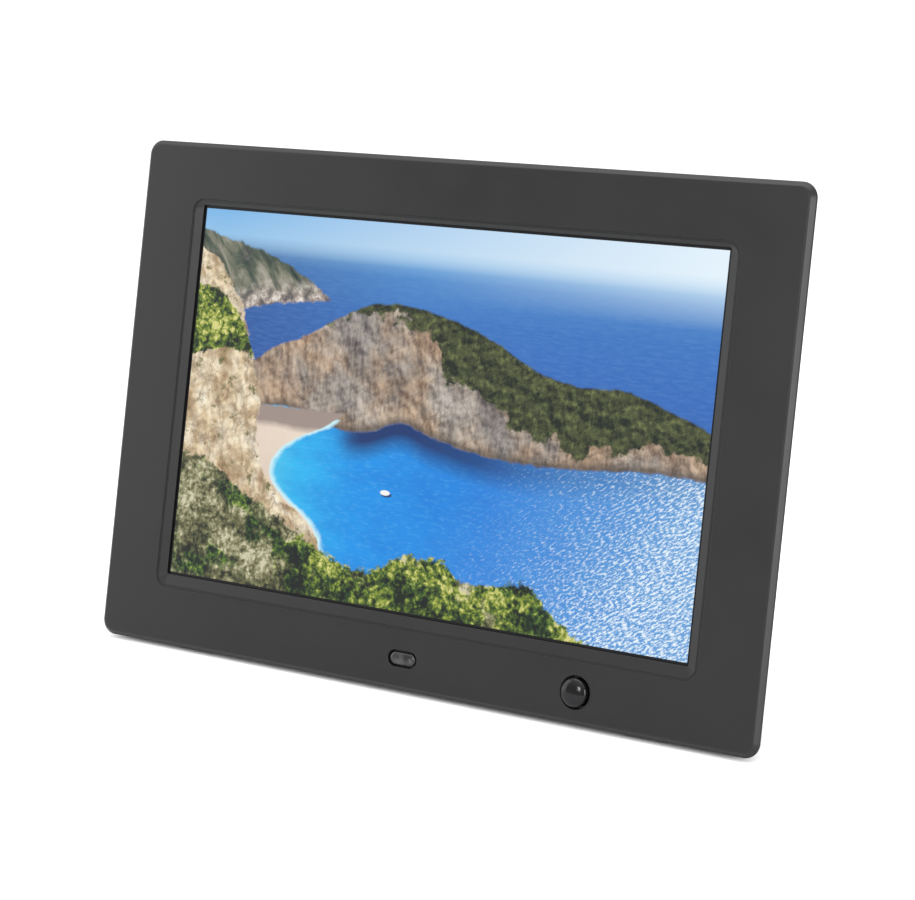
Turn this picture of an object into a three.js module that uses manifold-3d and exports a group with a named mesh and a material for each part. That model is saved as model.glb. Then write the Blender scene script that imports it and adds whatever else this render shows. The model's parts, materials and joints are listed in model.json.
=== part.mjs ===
// A 10.1 inch digital photo frame that stands on two bottom feet and a folding rear leg.
// Units are millimetres. The object faces -Y, +X is to the viewer's right and +Z is up.
//
// Most pieces are drawn in the panel's own axes, before it leans back: x to the right, y from the
// front face (0) towards the back, z up from the bottom edge of the outline (0). The panel group
// then leans back, and the leg group turns about the hinge pin.

import * as THREE from 'three';
import { mergeVertices } from 'three/addons/utils/BufferGeometryUtils.js';
import Module from 'manifold-3d';

const wasm = await Module();
wasm.setup();

// ---------------------------------------------------------------- driving dimensions

const LEAN = THREE.MathUtils.degToRad(10.8);
const LEG_FROM_UPRIGHT = THREE.MathUtils.degToRad(12.5);
const GAP = 0.3;

const PICTURE_W = 217.0;
const PICTURE_H = 135.6;
const BORDER_SIDE = 29.2;
const BORDER_TOP = 24.0;
const BORDER_BOTTOM = 27.1;

const OUTLINE_W = PICTURE_W + 2 * BORDER_SIDE;
const OUTLINE_H = PICTURE_H + BORDER_TOP + BORDER_BOTTOM;
const OUTLINE_R = 5.5;
const CHAMFER = 1.7;
const PLATE = 2.3;

// the sloping lip round the picture
const LIP_SIDE = 5.0;
const LIP_TOP = 3.2;
const LIP_BOTTOM = 5.9;
const LIP_R = 5.0;
const LIP_STEP = 0.35;
const LIP_DEPTH = 1.3;
const LIP_EDGE = 0.6;
const GROOVE_W = 0.9;
const GROOVE_DEPTH = 0.6;
const PICTURE_MARGIN = 1.0;

// the display module, measured from the front face
const GLASS_Y = LIP_DEPTH + LIP_EDGE + GAP;
const GLASS_T = 1.4;
const MODULE_W = 229.4;
const MODULE_H = 149.0;
const MODULE_Z = BORDER_BOTTOM + PICTURE_H / 2 - 1.5;
const MODULE_BACK = 7.5;
const SHEET_T = 0.5;

// the sensors in the bottom border
const SENSOR_BACK = 3.4;
const IR_X = -1.1;
const IR_Z = 11.2;
const IR_W = 12.0;
const IR_H = 5.9;
const PIR_X = 69.0;
const PIR_Z = 11.0;
const PIR_HOLE_D = 11.2;
const PIR_DOME_D = 9.8;
const PIR_WALL_PROUD = 0.7;
const PIR_PROUD = 2.2;

// the rear cover: a shallow tapered back with a deeper housing in the middle
const WALL = 2.0;
const COVER_Y = PLATE + GAP;
const COVER_INSET = 1.2;
const SHELF_Y = 13.6;
const HOUSING_Y = 22.0;
const HOUSING_HALF_W = 80.0;
const HOUSING_TOP = 141.0;
const DRAFT = 1.5;
const COVER_POST_Y = 8.0;

// the leg, its channel in the housing and its hinge
const HINGE_Y = 18.5;
const HINGE_Z = 125.0;
const CHANNEL_HALF_W = 31.5;
const CHANNEL_Y = 15.0;
const CHANNEL_TOP = 136.5;
const BARREL_R = 3.2;
const BARREL_HALF_W = 25.5;
const PIN_D = 3.0;
const PIN_HOLE_D = 3.6;
const LEG_FRONT = -2.3;
const LEG_BACK = 2.7;
const LEG_FOOT_HALF_W = 23.0;
const LEG_POCKET_ROWS = [[-28, -6], [-53, -28], [-78, -53], [-103, -78]];
const LEG_PAD_T = 2.2;
const WASHER_T = 1.2;
const LUG_T = 1.5;

// feet
const FOOT_X = 95.0;
const FOOT_LENGTH = 20.0;
const FOOT_DEPTH = 8.5;
const FOOT_FRONT = 4.0;
const FOOT_SEAT = 0.8;
const SOLE_Z = -1.6;

// fasteners
const CASE_SCREW_X = 119.5;
const CASE_SCREW_Z = [22.0, 165.0];
const CASE_SCREW_LENGTH = 9.6;
const BRACKET_SCREW_Z = 94.0;
const SCREW_HOLE_D = 3.1;
const SCREW_HEAD_D = 4.8;
const SCREW_HEAD_T = 1.4;
const SCREW_SHANK_D = 2.5;
const HANGER = { x: 100.0, z: 148.0, headD: 8.6, slotHalfW: 2.3, rise: 10.0, depth: 4.0 };

// the steel strips that hold the display module
const BRACKET = { inner: 108.0, z0: 72.0, z1: 116.0, t: 0.8, holeX: 112.0, holeD: 5.0, holeDz: 14.0 };

// keys, in one column on the back
const KEY_NAMES = ['power', 'menu', 'previous', 'play', 'next'];
const KEY_X = -57.0;
const KEY_Z = 122.0;
const KEY_PITCH = 13.0;
const KEY_W = 12.0;
const KEY_H = 6.0;
const KEY_PROUD = 1.2;
const KEY_CLEARANCE = 0.35;
const KEY_TRAVEL = 0.6;

// circuit boards
const BOARD_Y = 12.3;
const BOARD_T = 1.6;
const BOARD_BACK = BOARD_Y + BOARD_T;
const SOCKET_X = 76.0;
const MAIN_BOARD = { x0: 37.0, x1: 75.5, z0: 45.0, z1: 127.5 };
const BOARD_SCREWS = [[41.5, 49.5], [41.5, 123.5]];
const BOARD_SCREW_LENGTH = 6.2;
const SPEAKER = { x: 57.0, z: 27.0, w: 34.0, h: 16.0, t: 4.8, coneDepth: 1.6 };
const SENSOR_BOARD = { x0: -10.6, x1: 78.0, y0: 7.6, y1: 8.8, z0: 5.6, z1: 17.2 };
const CHIPS = {
  processor_chip: { x0: 39.5, x1: 53.5, z0: 76.0, z1: 90.0, h: 1.2 },
  memory_chip: { x0: 40.5, x1: 52.5, z0: 60.0, z1: 72.0, h: 1.1 },
};
const COIL = { x0: 50.0, x1: 57.0, z0: 49.0, z1: 56.0, r: 1.5, h: 3.2 };
const CAPACITOR = { x: 58.5, z: 71.0, d: 6.3, h: 5.2 };

// the mouths of the sockets in the housing's side
const SOCKETS = {
  card: { z: 110.0, halfW: 12.9, y0: 14.5, y1: 17.5 },
  usb: { z: 86.5, halfW: 7.0, y0: 13.9, y1: 20.0 },
  miniUsb: { z: 73.0, halfW: 4.3, y0: 14.1, y1: 18.4 },
};
const ROUND_SOCKETS = {
  headphone: { z: 63.0, y: 17.0, d: 5.2 },
  power: { z: 53.0, y: 17.0, d: 6.2 },
};

// openings in the housing's back
const GRILLE = { reach: 2, count: 7, pitchX: 4.0, pitchZ: 3.0, d: 1.9 };
const VENT = { x0: 44.0, x1: 72.0, pitch: 4.0, halfW: 0.8, z0: 94.0, z1: 124.0, r: 0.7 };

// ---------------------------------------------------------------- shape helpers

// An anticlockwise outline in x and z, as seen from the front. Radii run from the lower right
// corner, anticlockwise.
function roundedRect(x0, x1, z0, z1, radius, steps = 5) {
  const radii = Array.isArray(radius) ? radius : [radius, radius, radius, radius];
  const corners = [[x1, z0, -1, 1], [x1, z1, -1, -1], [x0, z1, 1, -1], [x0, z0, 1, 1]];
  const points = [];
  corners.forEach(([x, z, inX, inZ], corner) => {
    const r = radii[corner];
    for (let i = 0; i <= steps; i += 1) {
      const angle = (corner - 1 + i / steps) * (Math.PI / 2);
      const px = x + inX * r + r * Math.cos(angle);
      points.push(new THREE.Vector2(px, z + inZ * r + r * Math.sin(angle)));
    }
  });
  return points;
}

function circle(x, z, diameter, sides = 24) {
  return Array.from({ length: sides }, (_, i) => {
    const angle = (i / sides) * 2 * Math.PI;
    const r = diameter / 2;
    return new THREE.Vector2(x + r * Math.cos(angle), z + r * Math.sin(angle));
  });
}

// A closed solid through outlines with the same number of points, each at its own depth y.
function loft(rings) {
  const count = rings[0].points.length;
  const positions = rings.flatMap(({ y, points }) => points.flatMap((p) => [p.x, y, p.y]));
  const index = [];
  for (let level = 0; level < rings.length - 1; level += 1) {
    for (let i = 0; i < count; i += 1) {
      const a = level * count + i;
      const b = level * count + ((i + 1) % count);
      index.push(a, a + count, b + count, a, b + count, b);
    }
  }
  const last = (rings.length - 1) * count;
  THREE.ShapeUtils.triangulateShape(rings[0].points, []).forEach(([i, j, k]) => index.push(i, j, k));
  THREE.ShapeUtils.triangulateShape(rings[rings.length - 1].points, [])
    .forEach(([i, j, k]) => index.push(last + i, last + k, last + j));
  const geometry = new THREE.BufferGeometry();
  geometry.setAttribute('position', new THREE.Float32BufferAttribute(positions, 3));
  geometry.setIndex(index);
  return geometry;
}

function prism(points, y0, y1) {
  return loft([{ y: y0, points }, { y: y1, points }]);
}

function block(x0, x1, y0, y1, z0, z1) {
  const geometry = new THREE.BoxGeometry(x1 - x0, y1 - y0, z1 - z0);
  return geometry.translate((x0 + x1) / 2, (y0 + y1) / 2, (z0 + z1) / 2);
}

// A round bar along x, centred on y and z.
function barX(x0, x1, y, z, diameter, sides = 24) {
  const geometry = new THREE.CylinderGeometry(diameter / 2, diameter / 2, x1 - x0, sides);
  return geometry.rotateZ(Math.PI / 2).translate((x0 + x1) / 2, y, z);
}

// Turns a profile of [radius, y] points about an axis along y.
function turned(profile, x, z, sides = 20) {
  const points = profile.map(([r, y]) => new THREE.Vector2(r, y));
  return new THREE.LatheGeometry(points, sides).translate(x, 0, z);
}

function solid(shape) {
  if (shape instanceof wasm.Manifold) return shape;
  const bare = shape.index ? shape.clone() : shape.clone().toNonIndexed();
  bare.deleteAttribute('normal');
  bare.deleteAttribute('uv');
  const merged = mergeVertices(bare, 1e-4);
  return new wasm.Manifold(new wasm.Mesh({
    numProp: 3,
    vertProperties: new Float32Array(merged.attributes.position.array),
    triVerts: new Uint32Array(merged.index.array),
  }));
}

function join(...shapes) {
  return shapes.map(solid).reduce((whole, next) => whole.add(next));
}

function cut(shape, ...tools) {
  return tools.map(solid).reduce((left, tool) => left.subtract(tool), solid(shape));
}

function geometryOf(shape) {
  if (!(shape instanceof wasm.Manifold)) return shape;
  const { vertProperties, triVerts } = shape.getMesh();
  const geometry = new THREE.BufferGeometry();
  geometry.setAttribute('position', new THREE.Float32BufferAttribute(vertProperties, 3));
  geometry.setIndex(Array.from(triVerts));
  geometry.computeVertexNormals();
  return geometry;
}

// Level shapes are drawn in axes that stay level, with the panel's own origin, and this turns
// them into the panel's axes.
function fromLevel(geometry) {
  return geometry.rotateX(LEAN);
}

// ---------------------------------------------------------------- finishes

const finishes = {
  bezelPlastic: { color: 0x3d3d3f, roughness: 0.45, metalness: 0.0 },
  coverPlastic: { color: 0x262627, roughness: 0.6, metalness: 0.0 },
  keyPlastic: { color: 0x1b1b1c, roughness: 0.4, metalness: 0.0 },
  smokedPlastic: { color: 0x2b2a2c, roughness: 0.15, metalness: 0.0 },
  rubber: { color: 0x161616, roughness: 0.9, metalness: 0.0 },
  foam: { color: 0x1c1c1c, roughness: 1.0, metalness: 0.0 },
  display: { color: 0x2f7fd0, roughness: 0.25, metalness: 0.0 },
  film: { color: 0xe9ecec, roughness: 0.5, metalness: 0.0 },
  acrylic: { color: 0xdde8ea, roughness: 0.1, metalness: 0.0 },
  steel: { color: 0xb4b7ba, roughness: 0.35, metalness: 1.0 },
  darkSteel: { color: 0x2a2b2d, roughness: 0.4, metalness: 0.9 },
  board: { color: 0x14532d, roughness: 0.5, metalness: 0.0 },
  chip: { color: 0x1a1a1a, roughness: 0.5, metalness: 0.0 },
  ribbon: { color: 0xe6e2d6, roughness: 0.5, metalness: 0.0 },
  ledWhite: { color: 0xf4f1d0, roughness: 0.4, metalness: 0.0 },
};

function piece(parent, name, shape, finish) {
  const mesh = new THREE.Mesh(geometryOf(shape), new THREE.MeshStandardMaterial(finishes[finish]));
  mesh.name = name;
  parent.add(mesh);
}

// ---------------------------------------------------------------- front

const HALF_W = OUTLINE_W / 2;
const PICTURE = {
  x0: -PICTURE_W / 2, x1: PICTURE_W / 2, z0: BORDER_BOTTOM, z1: BORDER_BOTTOM + PICTURE_H,
};
const MODULE = {
  x0: -MODULE_W / 2, x1: MODULE_W / 2, z0: MODULE_Z - MODULE_H / 2, z1: MODULE_Z + MODULE_H / 2,
};

// An outline like the display module's, smaller by inset on every side.
function moduleOutline(inset, radius = 0.6) {
  return roundedRect(
    MODULE.x0 + inset, MODULE.x1 - inset, MODULE.z0 + inset, MODULE.z1 - inset, radius, 2,
  );
}

function stadium(x, z, width, height, steps = 8) {
  const r = height / 2 - 0.01;
  return roundedRect(x - width / 2, x + width / 2, z - height / 2, z + height / 2, r, steps);
}

function boss(x, z, diameter, y0, y1) {
  return prism(circle(x, z, diameter, 20), y0, y1);
}

function frontBezel() {
  const outline = roundedRect(-HALF_W, HALF_W, 0, OUTLINE_H, OUTLINE_R, 8);
  const face = roundedRect(
    -HALF_W + CHAMFER, HALF_W - CHAMFER, CHAMFER, OUTLINE_H - CHAMFER, OUTLINE_R - CHAMFER, 8,
  );
  const plate = loft([
    { y: 0, points: face }, { y: CHAMFER, points: outline }, { y: PLATE, points: outline },
  ]);

  const lipOutline = (inset) => roundedRect(
    PICTURE.x0 - LIP_SIDE + inset, PICTURE.x1 + LIP_SIDE - inset,
    PICTURE.z0 - LIP_BOTTOM + inset, PICTURE.z1 + LIP_TOP - inset, LIP_R - inset, 6,
  );
  const lip = lipOutline(0);
  const opening = roundedRect(
    PICTURE.x0 - PICTURE_MARGIN, PICTURE.x1 + PICTURE_MARGIN,
    PICTURE.z0 - PICTURE_MARGIN, PICTURE.z1 + PICTURE_MARGIN, 0.8, 6,
  );
  const window = loft([
    { y: -1, points: lip }, { y: LIP_STEP, points: lip },
    { y: LIP_DEPTH, points: opening }, { y: PLATE + 1, points: opening },
  ]);
  const groove = cut(prism(lip, -1, GROOVE_DEPTH), prism(lipOutline(GROOVE_W), -2, PLATE));
  const pocket = prism(moduleOutline(-0.9), GLASS_Y - GAP, PLATE + 1);
  const irHole = prism(stadium(IR_X, IR_Z, IR_W, IR_H), -1, PLATE + 1);
  const pirHole = prism(circle(PIR_X, PIR_Z, PIR_HOLE_D, 32), -1, PLATE + 1);

  const ribY = [PLATE - 0.5, 6.0];
  const ribs = [
    block(-HALF_W + 8.0, -HALF_W + 9.4, ...ribY, 32, 158),
    block(HALF_W - 9.4, HALF_W - 8.0, ...ribY, 32, 158),
    block(-95, 95, ...ribY, OUTLINE_H - 9.4, OUTLINE_H - 8.0),
  ];
  const bosses = [];
  const holes = [];
  for (const x of [-CASE_SCREW_X, CASE_SCREW_X]) {
    for (const z of CASE_SCREW_Z) bosses.push(boss(x, z, 6.4, PLATE - 0.5, COVER_POST_Y - GAP));
    bosses.push(boss(x, BRACKET_SCREW_Z, 5.6, PLATE - 0.5, MODULE_BACK));
    for (const z of [...CASE_SCREW_Z, BRACKET_SCREW_Z]) {
      holes.push(boss(x, z, SCREW_HOLE_D, PLATE + 0.5, 9));
    }
  }
  return cut(join(plate, ...ribs, ...bosses), window, groove, pocket, irHole, pirHole, ...holes);
}

// A clear dark window, slightly domed, held by a flange behind the bezel.
function irWindow() {
  const edge = 0.55;
  const face = stadium(IR_X, IR_Z, IR_W - 2 * edge - 0.8, IR_H - 2 * edge - 0.8);
  const body = stadium(IR_X, IR_Z, IR_W - 2 * edge, IR_H - 2 * edge);
  return join(
    loft([{ y: 0.1, points: face }, { y: 0.4, points: body }, { y: SENSOR_BACK - 0.2, points: body }]),
    prism(stadium(IR_X, IR_Z, IR_W + 2, IR_H + 2), PLATE + GAP, SENSOR_BACK),
  );
}

// A hollow dome that stands proud of the face, with a flange behind the bezel.
function pirLens() {
  const r = PIR_DOME_D / 2;
  const skin = 0.9;
  const back = SENSOR_BACK;
  const dome = (radius, top) => Array.from({ length: 7 }, (_, i) => {
    const angle = (i / 6) * (Math.PI / 2);
    return [radius * Math.sin(angle), -PIR_WALL_PROUD + (PIR_WALL_PROUD + top) * Math.cos(angle)];
  });
  const outer = [...dome(r, -PIR_PROUD), [r, PLATE + GAP], [r + 1.5, PLATE + GAP], [r + 1.5, back]];
  const inner = [[r - skin, back], ...dome(r - skin, -PIR_PROUD + skin).reverse()];
  return turned([...outer, ...inner], PIR_X, PIR_Z, 32);
}

function screenGasket() {
  const y0 = GLASS_Y;
  return cut(prism(moduleOutline(0.2), y0, y0 + 0.4), prism(moduleOutline(2.6), y0 - 1, y0 + 1));
}

// ---------------------------------------------------------------- display module

function lcdPanel() {
  return prism(moduleOutline(3.0), GLASS_Y, GLASS_Y + GLASS_T);
}

function lcdFrame() {
  const flangeY = GLASS_Y + 0.4 + GAP;
  return cut(
    prism(moduleOutline(0), flangeY, MODULE_BACK - 0.8),
    prism(moduleOutline(0.4), flangeY + 0.4, MODULE_BACK + 1),
    prism(moduleOutline(2.6), flangeY - 1, MODULE_BACK + 1),
  );
}

function backlightTray() {
  const floorY = MODULE_BACK - SHEET_T;
  const wallY = GLASS_Y + GLASS_T + 0.5;
  return cut(
    prism(moduleOutline(0.8), wallY, MODULE_BACK),
    prism(moduleOutline(0.8 + SHEET_T), wallY - 1, floorY),
  );
}

function diffuserFilms() {
  const y0 = GLASS_Y + GLASS_T + GAP;
  return prism(moduleOutline(2.2), y0, y0 + 0.5);
}

const GUIDE_Y = GLASS_Y + GLASS_T + 2 * GAP + 0.5;
const GUIDE_BACK = MODULE_BACK - SHEET_T - GAP;

function lightGuide() {
  const margin = 2.4;
  const lampSide = 4.6;
  return block(
    MODULE.x0 + margin, MODULE.x1 - margin, GUIDE_Y, GUIDE_BACK, MODULE.z0 + lampSide, MODULE.z1 - margin,
  );
}

function ledStrip() {
  const z = MODULE.z0 + 1.7;
  const halfLength = 102;
  const lampPitch = 18.8;
  const lampReach = 5 * lampPitch;
  const lamps = [];
  for (let x = -lampReach; x < lampReach + 1; x += lampPitch) {
    lamps.push(block(x - 2, x + 2, GUIDE_Y + 0.3, GUIDE_BACK - 0.3, z + 1, z + 2.4));
  }
  return join(block(-halfLength, halfLength, GUIDE_Y, GUIDE_BACK, z, z + 1.2), ...lamps);
}

// A steel strip that holds one side of the display module to the bezel.
function panelBracket(side) {
  const { inner, z0, z1, t, holeX, holeD, holeDz } = BRACKET;
  const ends = [side * inner, side * (CASE_SCREW_X + 3)];
  const outline = roundedRect(Math.min(...ends), Math.max(...ends), z0, z1, 1.5, 3);
  return cut(
    prism(outline, MODULE_BACK + GAP, MODULE_BACK + GAP + t),
    boss(side * CASE_SCREW_X, BRACKET_SCREW_Z, SCREW_HOLE_D, 0, 20),
    boss(side * holeX, BRACKET_SCREW_Z + holeDz, holeD, 0, 20),
    boss(side * holeX, BRACKET_SCREW_Z - holeDz, holeD, 0, 20),
  );
}

// A pan-head screw with a cross recess. The head's top is at headY and the shank points at the
// other end, towards -y when direction is -1.
function screw(x, z, headY, direction, length, shankD = SCREW_SHANK_D) {
  const at = (d) => headY + direction * d;
  const head = SCREW_HEAD_D / 2;
  const shank = shankD / 2;
  const profile = [
    [0, at(0)], [head - 0.5, at(0)], [head, at(0.5)], [head, at(SCREW_HEAD_T)],
    [shank, at(SCREW_HEAD_T)], [shank, at(length - 0.8)], [shank - 0.6, at(length)], [0, at(length)],
  ];
  if (direction < 0) profile.reverse();
  const y0 = Math.min(at(-1), at(0.8));
  const y1 = Math.max(at(-1), at(0.8));
  return cut(
    turned(profile, x, z, 16),
    block(x - 1.3, x + 1.3, y0, y1, z - 0.3, z + 0.3),
    block(x - 0.3, x + 0.3, y0, y1, z - 1.3, z + 1.3),
  );
}

// ---------------------------------------------------------------- rear cover

// The bottom wall stays level when the panel leans back.
function bottomAt(y) {
  return COVER_INSET + (y - COVER_Y) * Math.tan(LEAN);
}

function taperRing(y, extra, radius) {
  const inset = COVER_INSET + (y - COVER_Y) + extra;
  const floor = bottomAt(y) + (extra > 0 ? WALL : 0);
  return { y, points: roundedRect(-HALF_W + inset, HALF_W - inset, floor, OUTLINE_H - inset, radius, 6) };
}

function housingRing(y, extra, radius) {
  const half = HOUSING_HALF_W - extra - DRAFT * (y - SHELF_Y) / (HOUSING_Y - SHELF_Y);
  const top = HOUSING_TOP - (HOUSING_HALF_W - half);
  const floor = bottomAt(y) + (extra > 0 ? WALL : 0);
  return { y, points: roundedRect(-half, half, floor, top, [2, radius, radius, 2], 6) };
}

// Rows of small round holes, every other row one hole shorter.
function grille(x, z) {
  const holes = [];
  const { reach, count, pitchX, pitchZ, d } = GRILLE;
  for (let row = -reach; row <= reach; row += 1) {
    const inRow = row % 2 === 0 ? count : count - 1;
    for (let i = 0; i < inRow; i += 1) {
      const hx = x + (i - (inRow - 1) / 2) * pitchX;
      holes.push(prism(circle(hx, z + row * pitchZ, d, 8), HOUSING_Y - WALL - 1, HOUSING_Y + 1));
    }
  }
  return holes;
}

// Long narrow slots in the housing's back, over the main board.
function vents() {
  const { halfW, z0, z1, r } = VENT;
  const slots = [];
  for (let x = VENT.x0; x <= VENT.x1; x += VENT.pitch) {
    const outline = roundedRect(x - halfW, x + halfW, z0, z1, r, 2);
    slots.push(prism(outline, HOUSING_Y - WALL - 1, HOUSING_Y + 1));
  }
  return slots;
}

function keyHoles() {
  const c = KEY_CLEARANCE;
  return KEY_NAMES.map((_, i) => {
    const z = KEY_Z - i * KEY_PITCH;
    const outline = roundedRect(
      KEY_X - KEY_W / 2 - c, KEY_X + KEY_W / 2 + c, z - KEY_H / 2 - c, z + KEY_H / 2 + c, 1.6, 4,
    );
    return prism(outline, HOUSING_Y - WALL - 1, HOUSING_Y + 1);
  });
}

// Two hanging slots for screw heads, round at the bottom and narrow above.
function hangers() {
  const { z, headD, slotHalfW, rise, depth } = HANGER;
  return [-HANGER.x, HANGER.x].flatMap((x) => [
    boss(x, z, headD, SHELF_Y - depth, SHELF_Y + 1),
    prism(
      roundedRect(x - slotHalfW, x + slotHalfW, z, z + rise, slotHalfW - 0.1, 4),
      SHELF_Y - depth, SHELF_Y + 1,
    ),
  ]);
}

function rearCover() {
  const skin = join(
    loft([taperRing(COVER_Y, 0, 4.5), taperRing(SHELF_Y, 0, 9)]),
    loft([housingRing(SHELF_Y - 1.5, 0, 8), housingRing(HOUSING_Y, 0, 8)]),
  );
  const slantWall = WALL * Math.SQRT2;
  const hollow = loft([taperRing(COVER_Y - 1, slantWall, 3), taperRing(SHELF_Y - WALL, slantWall, 6)]);
  const channelWalls = block(
    -CHANNEL_HALF_W - WALL, CHANNEL_HALF_W + WALL, CHANNEL_Y - WALL, HOUSING_Y + 9, -9, CHANNEL_TOP + WALL,
  );
  const housingHollow = cut(
    loft([housingRing(SHELF_Y - WALL - 1, WALL, 6), housingRing(HOUSING_Y - WALL, WALL, 6)]), channelWalls,
  );
  const channel = block(-CHANNEL_HALF_W, CHANNEL_HALF_W, CHANNEL_Y, HOUSING_Y + 9, -9, CHANNEL_TOP);
  let shell = cut(skin, hollow, housingHollow, channel);

  const posts = [];
  const holes = [];
  for (const x of [-CASE_SCREW_X, CASE_SCREW_X]) {
    for (const z of CASE_SCREW_Z) {
      posts.push(boss(x, z, 6.8, COVER_POST_Y, SHELF_Y - WALL + 0.5));
      holes.push(boss(x, z, SCREW_HOLE_D, COVER_POST_Y - 1, SHELF_Y + 1));
      holes.push(boss(x, z, SCREW_HEAD_D + 1.2, SHELF_Y - SCREW_HEAD_T - GAP, SHELF_Y + 1));
    }
  }
  for (const [x, z] of BOARD_SCREWS) {
    posts.push(boss(x, z, 5.6, BOARD_BACK + GAP, HOUSING_Y - WALL + 0.5));
    holes.push(boss(x, z, 2.9, BOARD_BACK, HOUSING_Y - WALL - 1));
  }
  shell = join(shell, ...posts);

  for (const { z, halfW, y0, y1 } of Object.values(SOCKETS)) {
    holes.push(block(SOCKET_X - 1, HOUSING_HALF_W + 10, y0, y1, z - halfW, z + halfW));
  }
  for (const { z, y, d } of Object.values(ROUND_SOCKETS)) {
    holes.push(barX(SOCKET_X - 1, HOUSING_HALF_W + 10, y, z, d, 20));
  }
  holes.push(...hangers(), ...keyHoles(), ...vents());
  holes.push(...grille(SPEAKER.x, SPEAKER.z), ...grille(-SPEAKER.x, SPEAKER.z));
  for (const x of [-FOOT_X, FOOT_X]) {
    const length = FOOT_LENGTH + 2 * GAP;
    holes.push(fromLevel(prismLevel(x, length, FOOT_FRONT - GAP, FOOT_DEPTH + 2 * GAP, -3, footSeatZ())));
  }
  return cut(shell, ...holes);
}

// The level of the bottom wall, and of the seats cut into it for the feet.
function footSeatZ() {
  return bottomAt(COVER_Y) * Math.cos(LEAN) - COVER_Y * Math.sin(LEAN) + FOOT_SEAT;
}

// An upright pad with rounded corners, from z0 up to z1.
function prismLevel(x, length, y0, depth, z0, z1, radius = 2.5) {
  const outline = roundedRect(x - length / 2, x + length / 2, -y0 - depth, -y0, radius, 4);
  return prism(outline, z0, z1).rotateX(Math.PI / 2);
}

function foot(side) {
  const top = footSeatZ() - GAP;
  const x = side * FOOT_X;
  return join(
    prismLevel(x, FOOT_LENGTH, FOOT_FRONT, FOOT_DEPTH, SOLE_Z + 0.5, top),
    prismLevel(x, FOOT_LENGTH - 0.8, FOOT_FRONT + 0.4, FOOT_DEPTH - 0.8, SOLE_Z, top, 2.1),
  );
}

// ---------------------------------------------------------------- stand

const LUG_INNER = BARREL_HALF_W + 2 * GAP + WASHER_T;
const LUG_OUTER = LUG_INNER + LUG_T;

function hingeBracket() {
  const backY = CHANNEL_Y + GAP;
  const top = CHANNEL_TOP - GAP;
  const lug = (side) => {
    const x0 = Math.min(side * LUG_INNER, side * LUG_OUTER);
    return block(x0, x0 + LUG_T, backY, HINGE_Y + 3.1, HINGE_Z - 3.6, top);
  };
  const plate = block(-LUG_OUTER, LUG_OUTER, backY, backY + 1.2, HINGE_Z + 4.6, top);
  return cut(
    join(plate, lug(-1), lug(1)),
    barX(-50, 50, HINGE_Y, HINGE_Z, PIN_HOLE_D),
    boss(-14, HINGE_Z + 8, 2.6, 0, 30),
    boss(14, HINGE_Z + 8, 2.6, 0, 30),
  );
}

function frictionWasher(side) {
  const x0 = side > 0 ? BARREL_HALF_W + GAP : -BARREL_HALF_W - GAP - WASHER_T;
  return cut(
    barX(x0, x0 + WASHER_T, HINGE_Y, HINGE_Z, 6.2),
    barX(x0 - 1, x0 + WASHER_T + 1, HINGE_Y, HINGE_Z, PIN_HOLE_D),
  );
}

function hingePin() {
  const headX = LUG_OUTER + GAP;
  return join(
    barX(-LUG_OUTER - 1.9, headX + 0.5, HINGE_Y, HINGE_Z, PIN_D),
    barX(headX, headX + 1.3, HINGE_Y, HINGE_Z, 5.2),
  );
}

// A spring clip, open at the back, that keeps the pin in its lugs.
function retainingClip() {
  const x1 = -LUG_OUTER - GAP;
  return cut(
    barX(x1 - 0.7, x1, HINGE_Y, HINGE_Z, 5.8),
    barX(x1 - 2, x1 + 1, HINGE_Y, HINGE_Z, PIN_D + 2 * GAP),
    block(x1 - 2, x1 + 1, HINGE_Y, HINGE_Y + 5, HINGE_Z - 0.9, HINGE_Z + 0.9),
  );
}

// The leg is drawn folded, with its hinge at the origin and its foot towards -z.
const HINGE_DROP = HINGE_Z * Math.cos(LEAN) - HINGE_Y * Math.sin(LEAN) - SOLE_Z;

// Turns level shapes, drawn from the hinge, into the leg's axes.
function fromLevelToLeg(geometry) {
  return geometry.rotateX(-LEG_FROM_UPRIGHT);
}

function standLeg() {
  const length = HINGE_DROP / Math.cos(LEG_FROM_UPRIGHT) + 4;
  const side = (z) => BARREL_HALF_W + (LEG_FOOT_HALF_W - BARREL_HALF_W) * (-z / length);
  const blade = prism(
    [
      new THREE.Vector2(-side(-length), -length), new THREE.Vector2(side(-length), -length),
      new THREE.Vector2(side(0), 0), new THREE.Vector2(-side(0), 0),
    ],
    LEG_FRONT, LEG_BACK,
  );
  const barrel = barX(-BARREL_HALF_W, BARREL_HALF_W, 0, 0, 2 * BARREL_R, 28);
  const heel = block(-10, 10, 0.4, 2.2, 0, 5.1);
  const rib = 1.8;
  const pockets = [];
  for (const [z0, z1] of LEG_POCKET_ROWS) {
    const half = side(z0) - rib;
    const inner = half / 3;
    const columns = [[-half, -inner - rib / 2], [-inner + rib / 2, inner - rib / 2], [inner + rib / 2, half]];
    for (const [x0, x1] of columns) {
      pockets.push(block(x0, x1, LEG_FRONT - 1, LEG_BACK - rib, z0 + rib / 2, z1 - rib / 2));
    }
  }
  const pinHole = barX(-BARREL_HALF_W - 1, BARREL_HALF_W + 1, 0, 0, PIN_HOLE_D);
  const footSeat = HINGE_DROP - LEG_PAD_T - GAP;
  const trim = fromLevelToLeg(block(-40, 40, -30, 40, -HINGE_DROP - 20, -footSeat));
  return cut(join(blade, barrel, heel), pinHole, trim, ...pockets);
}

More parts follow.
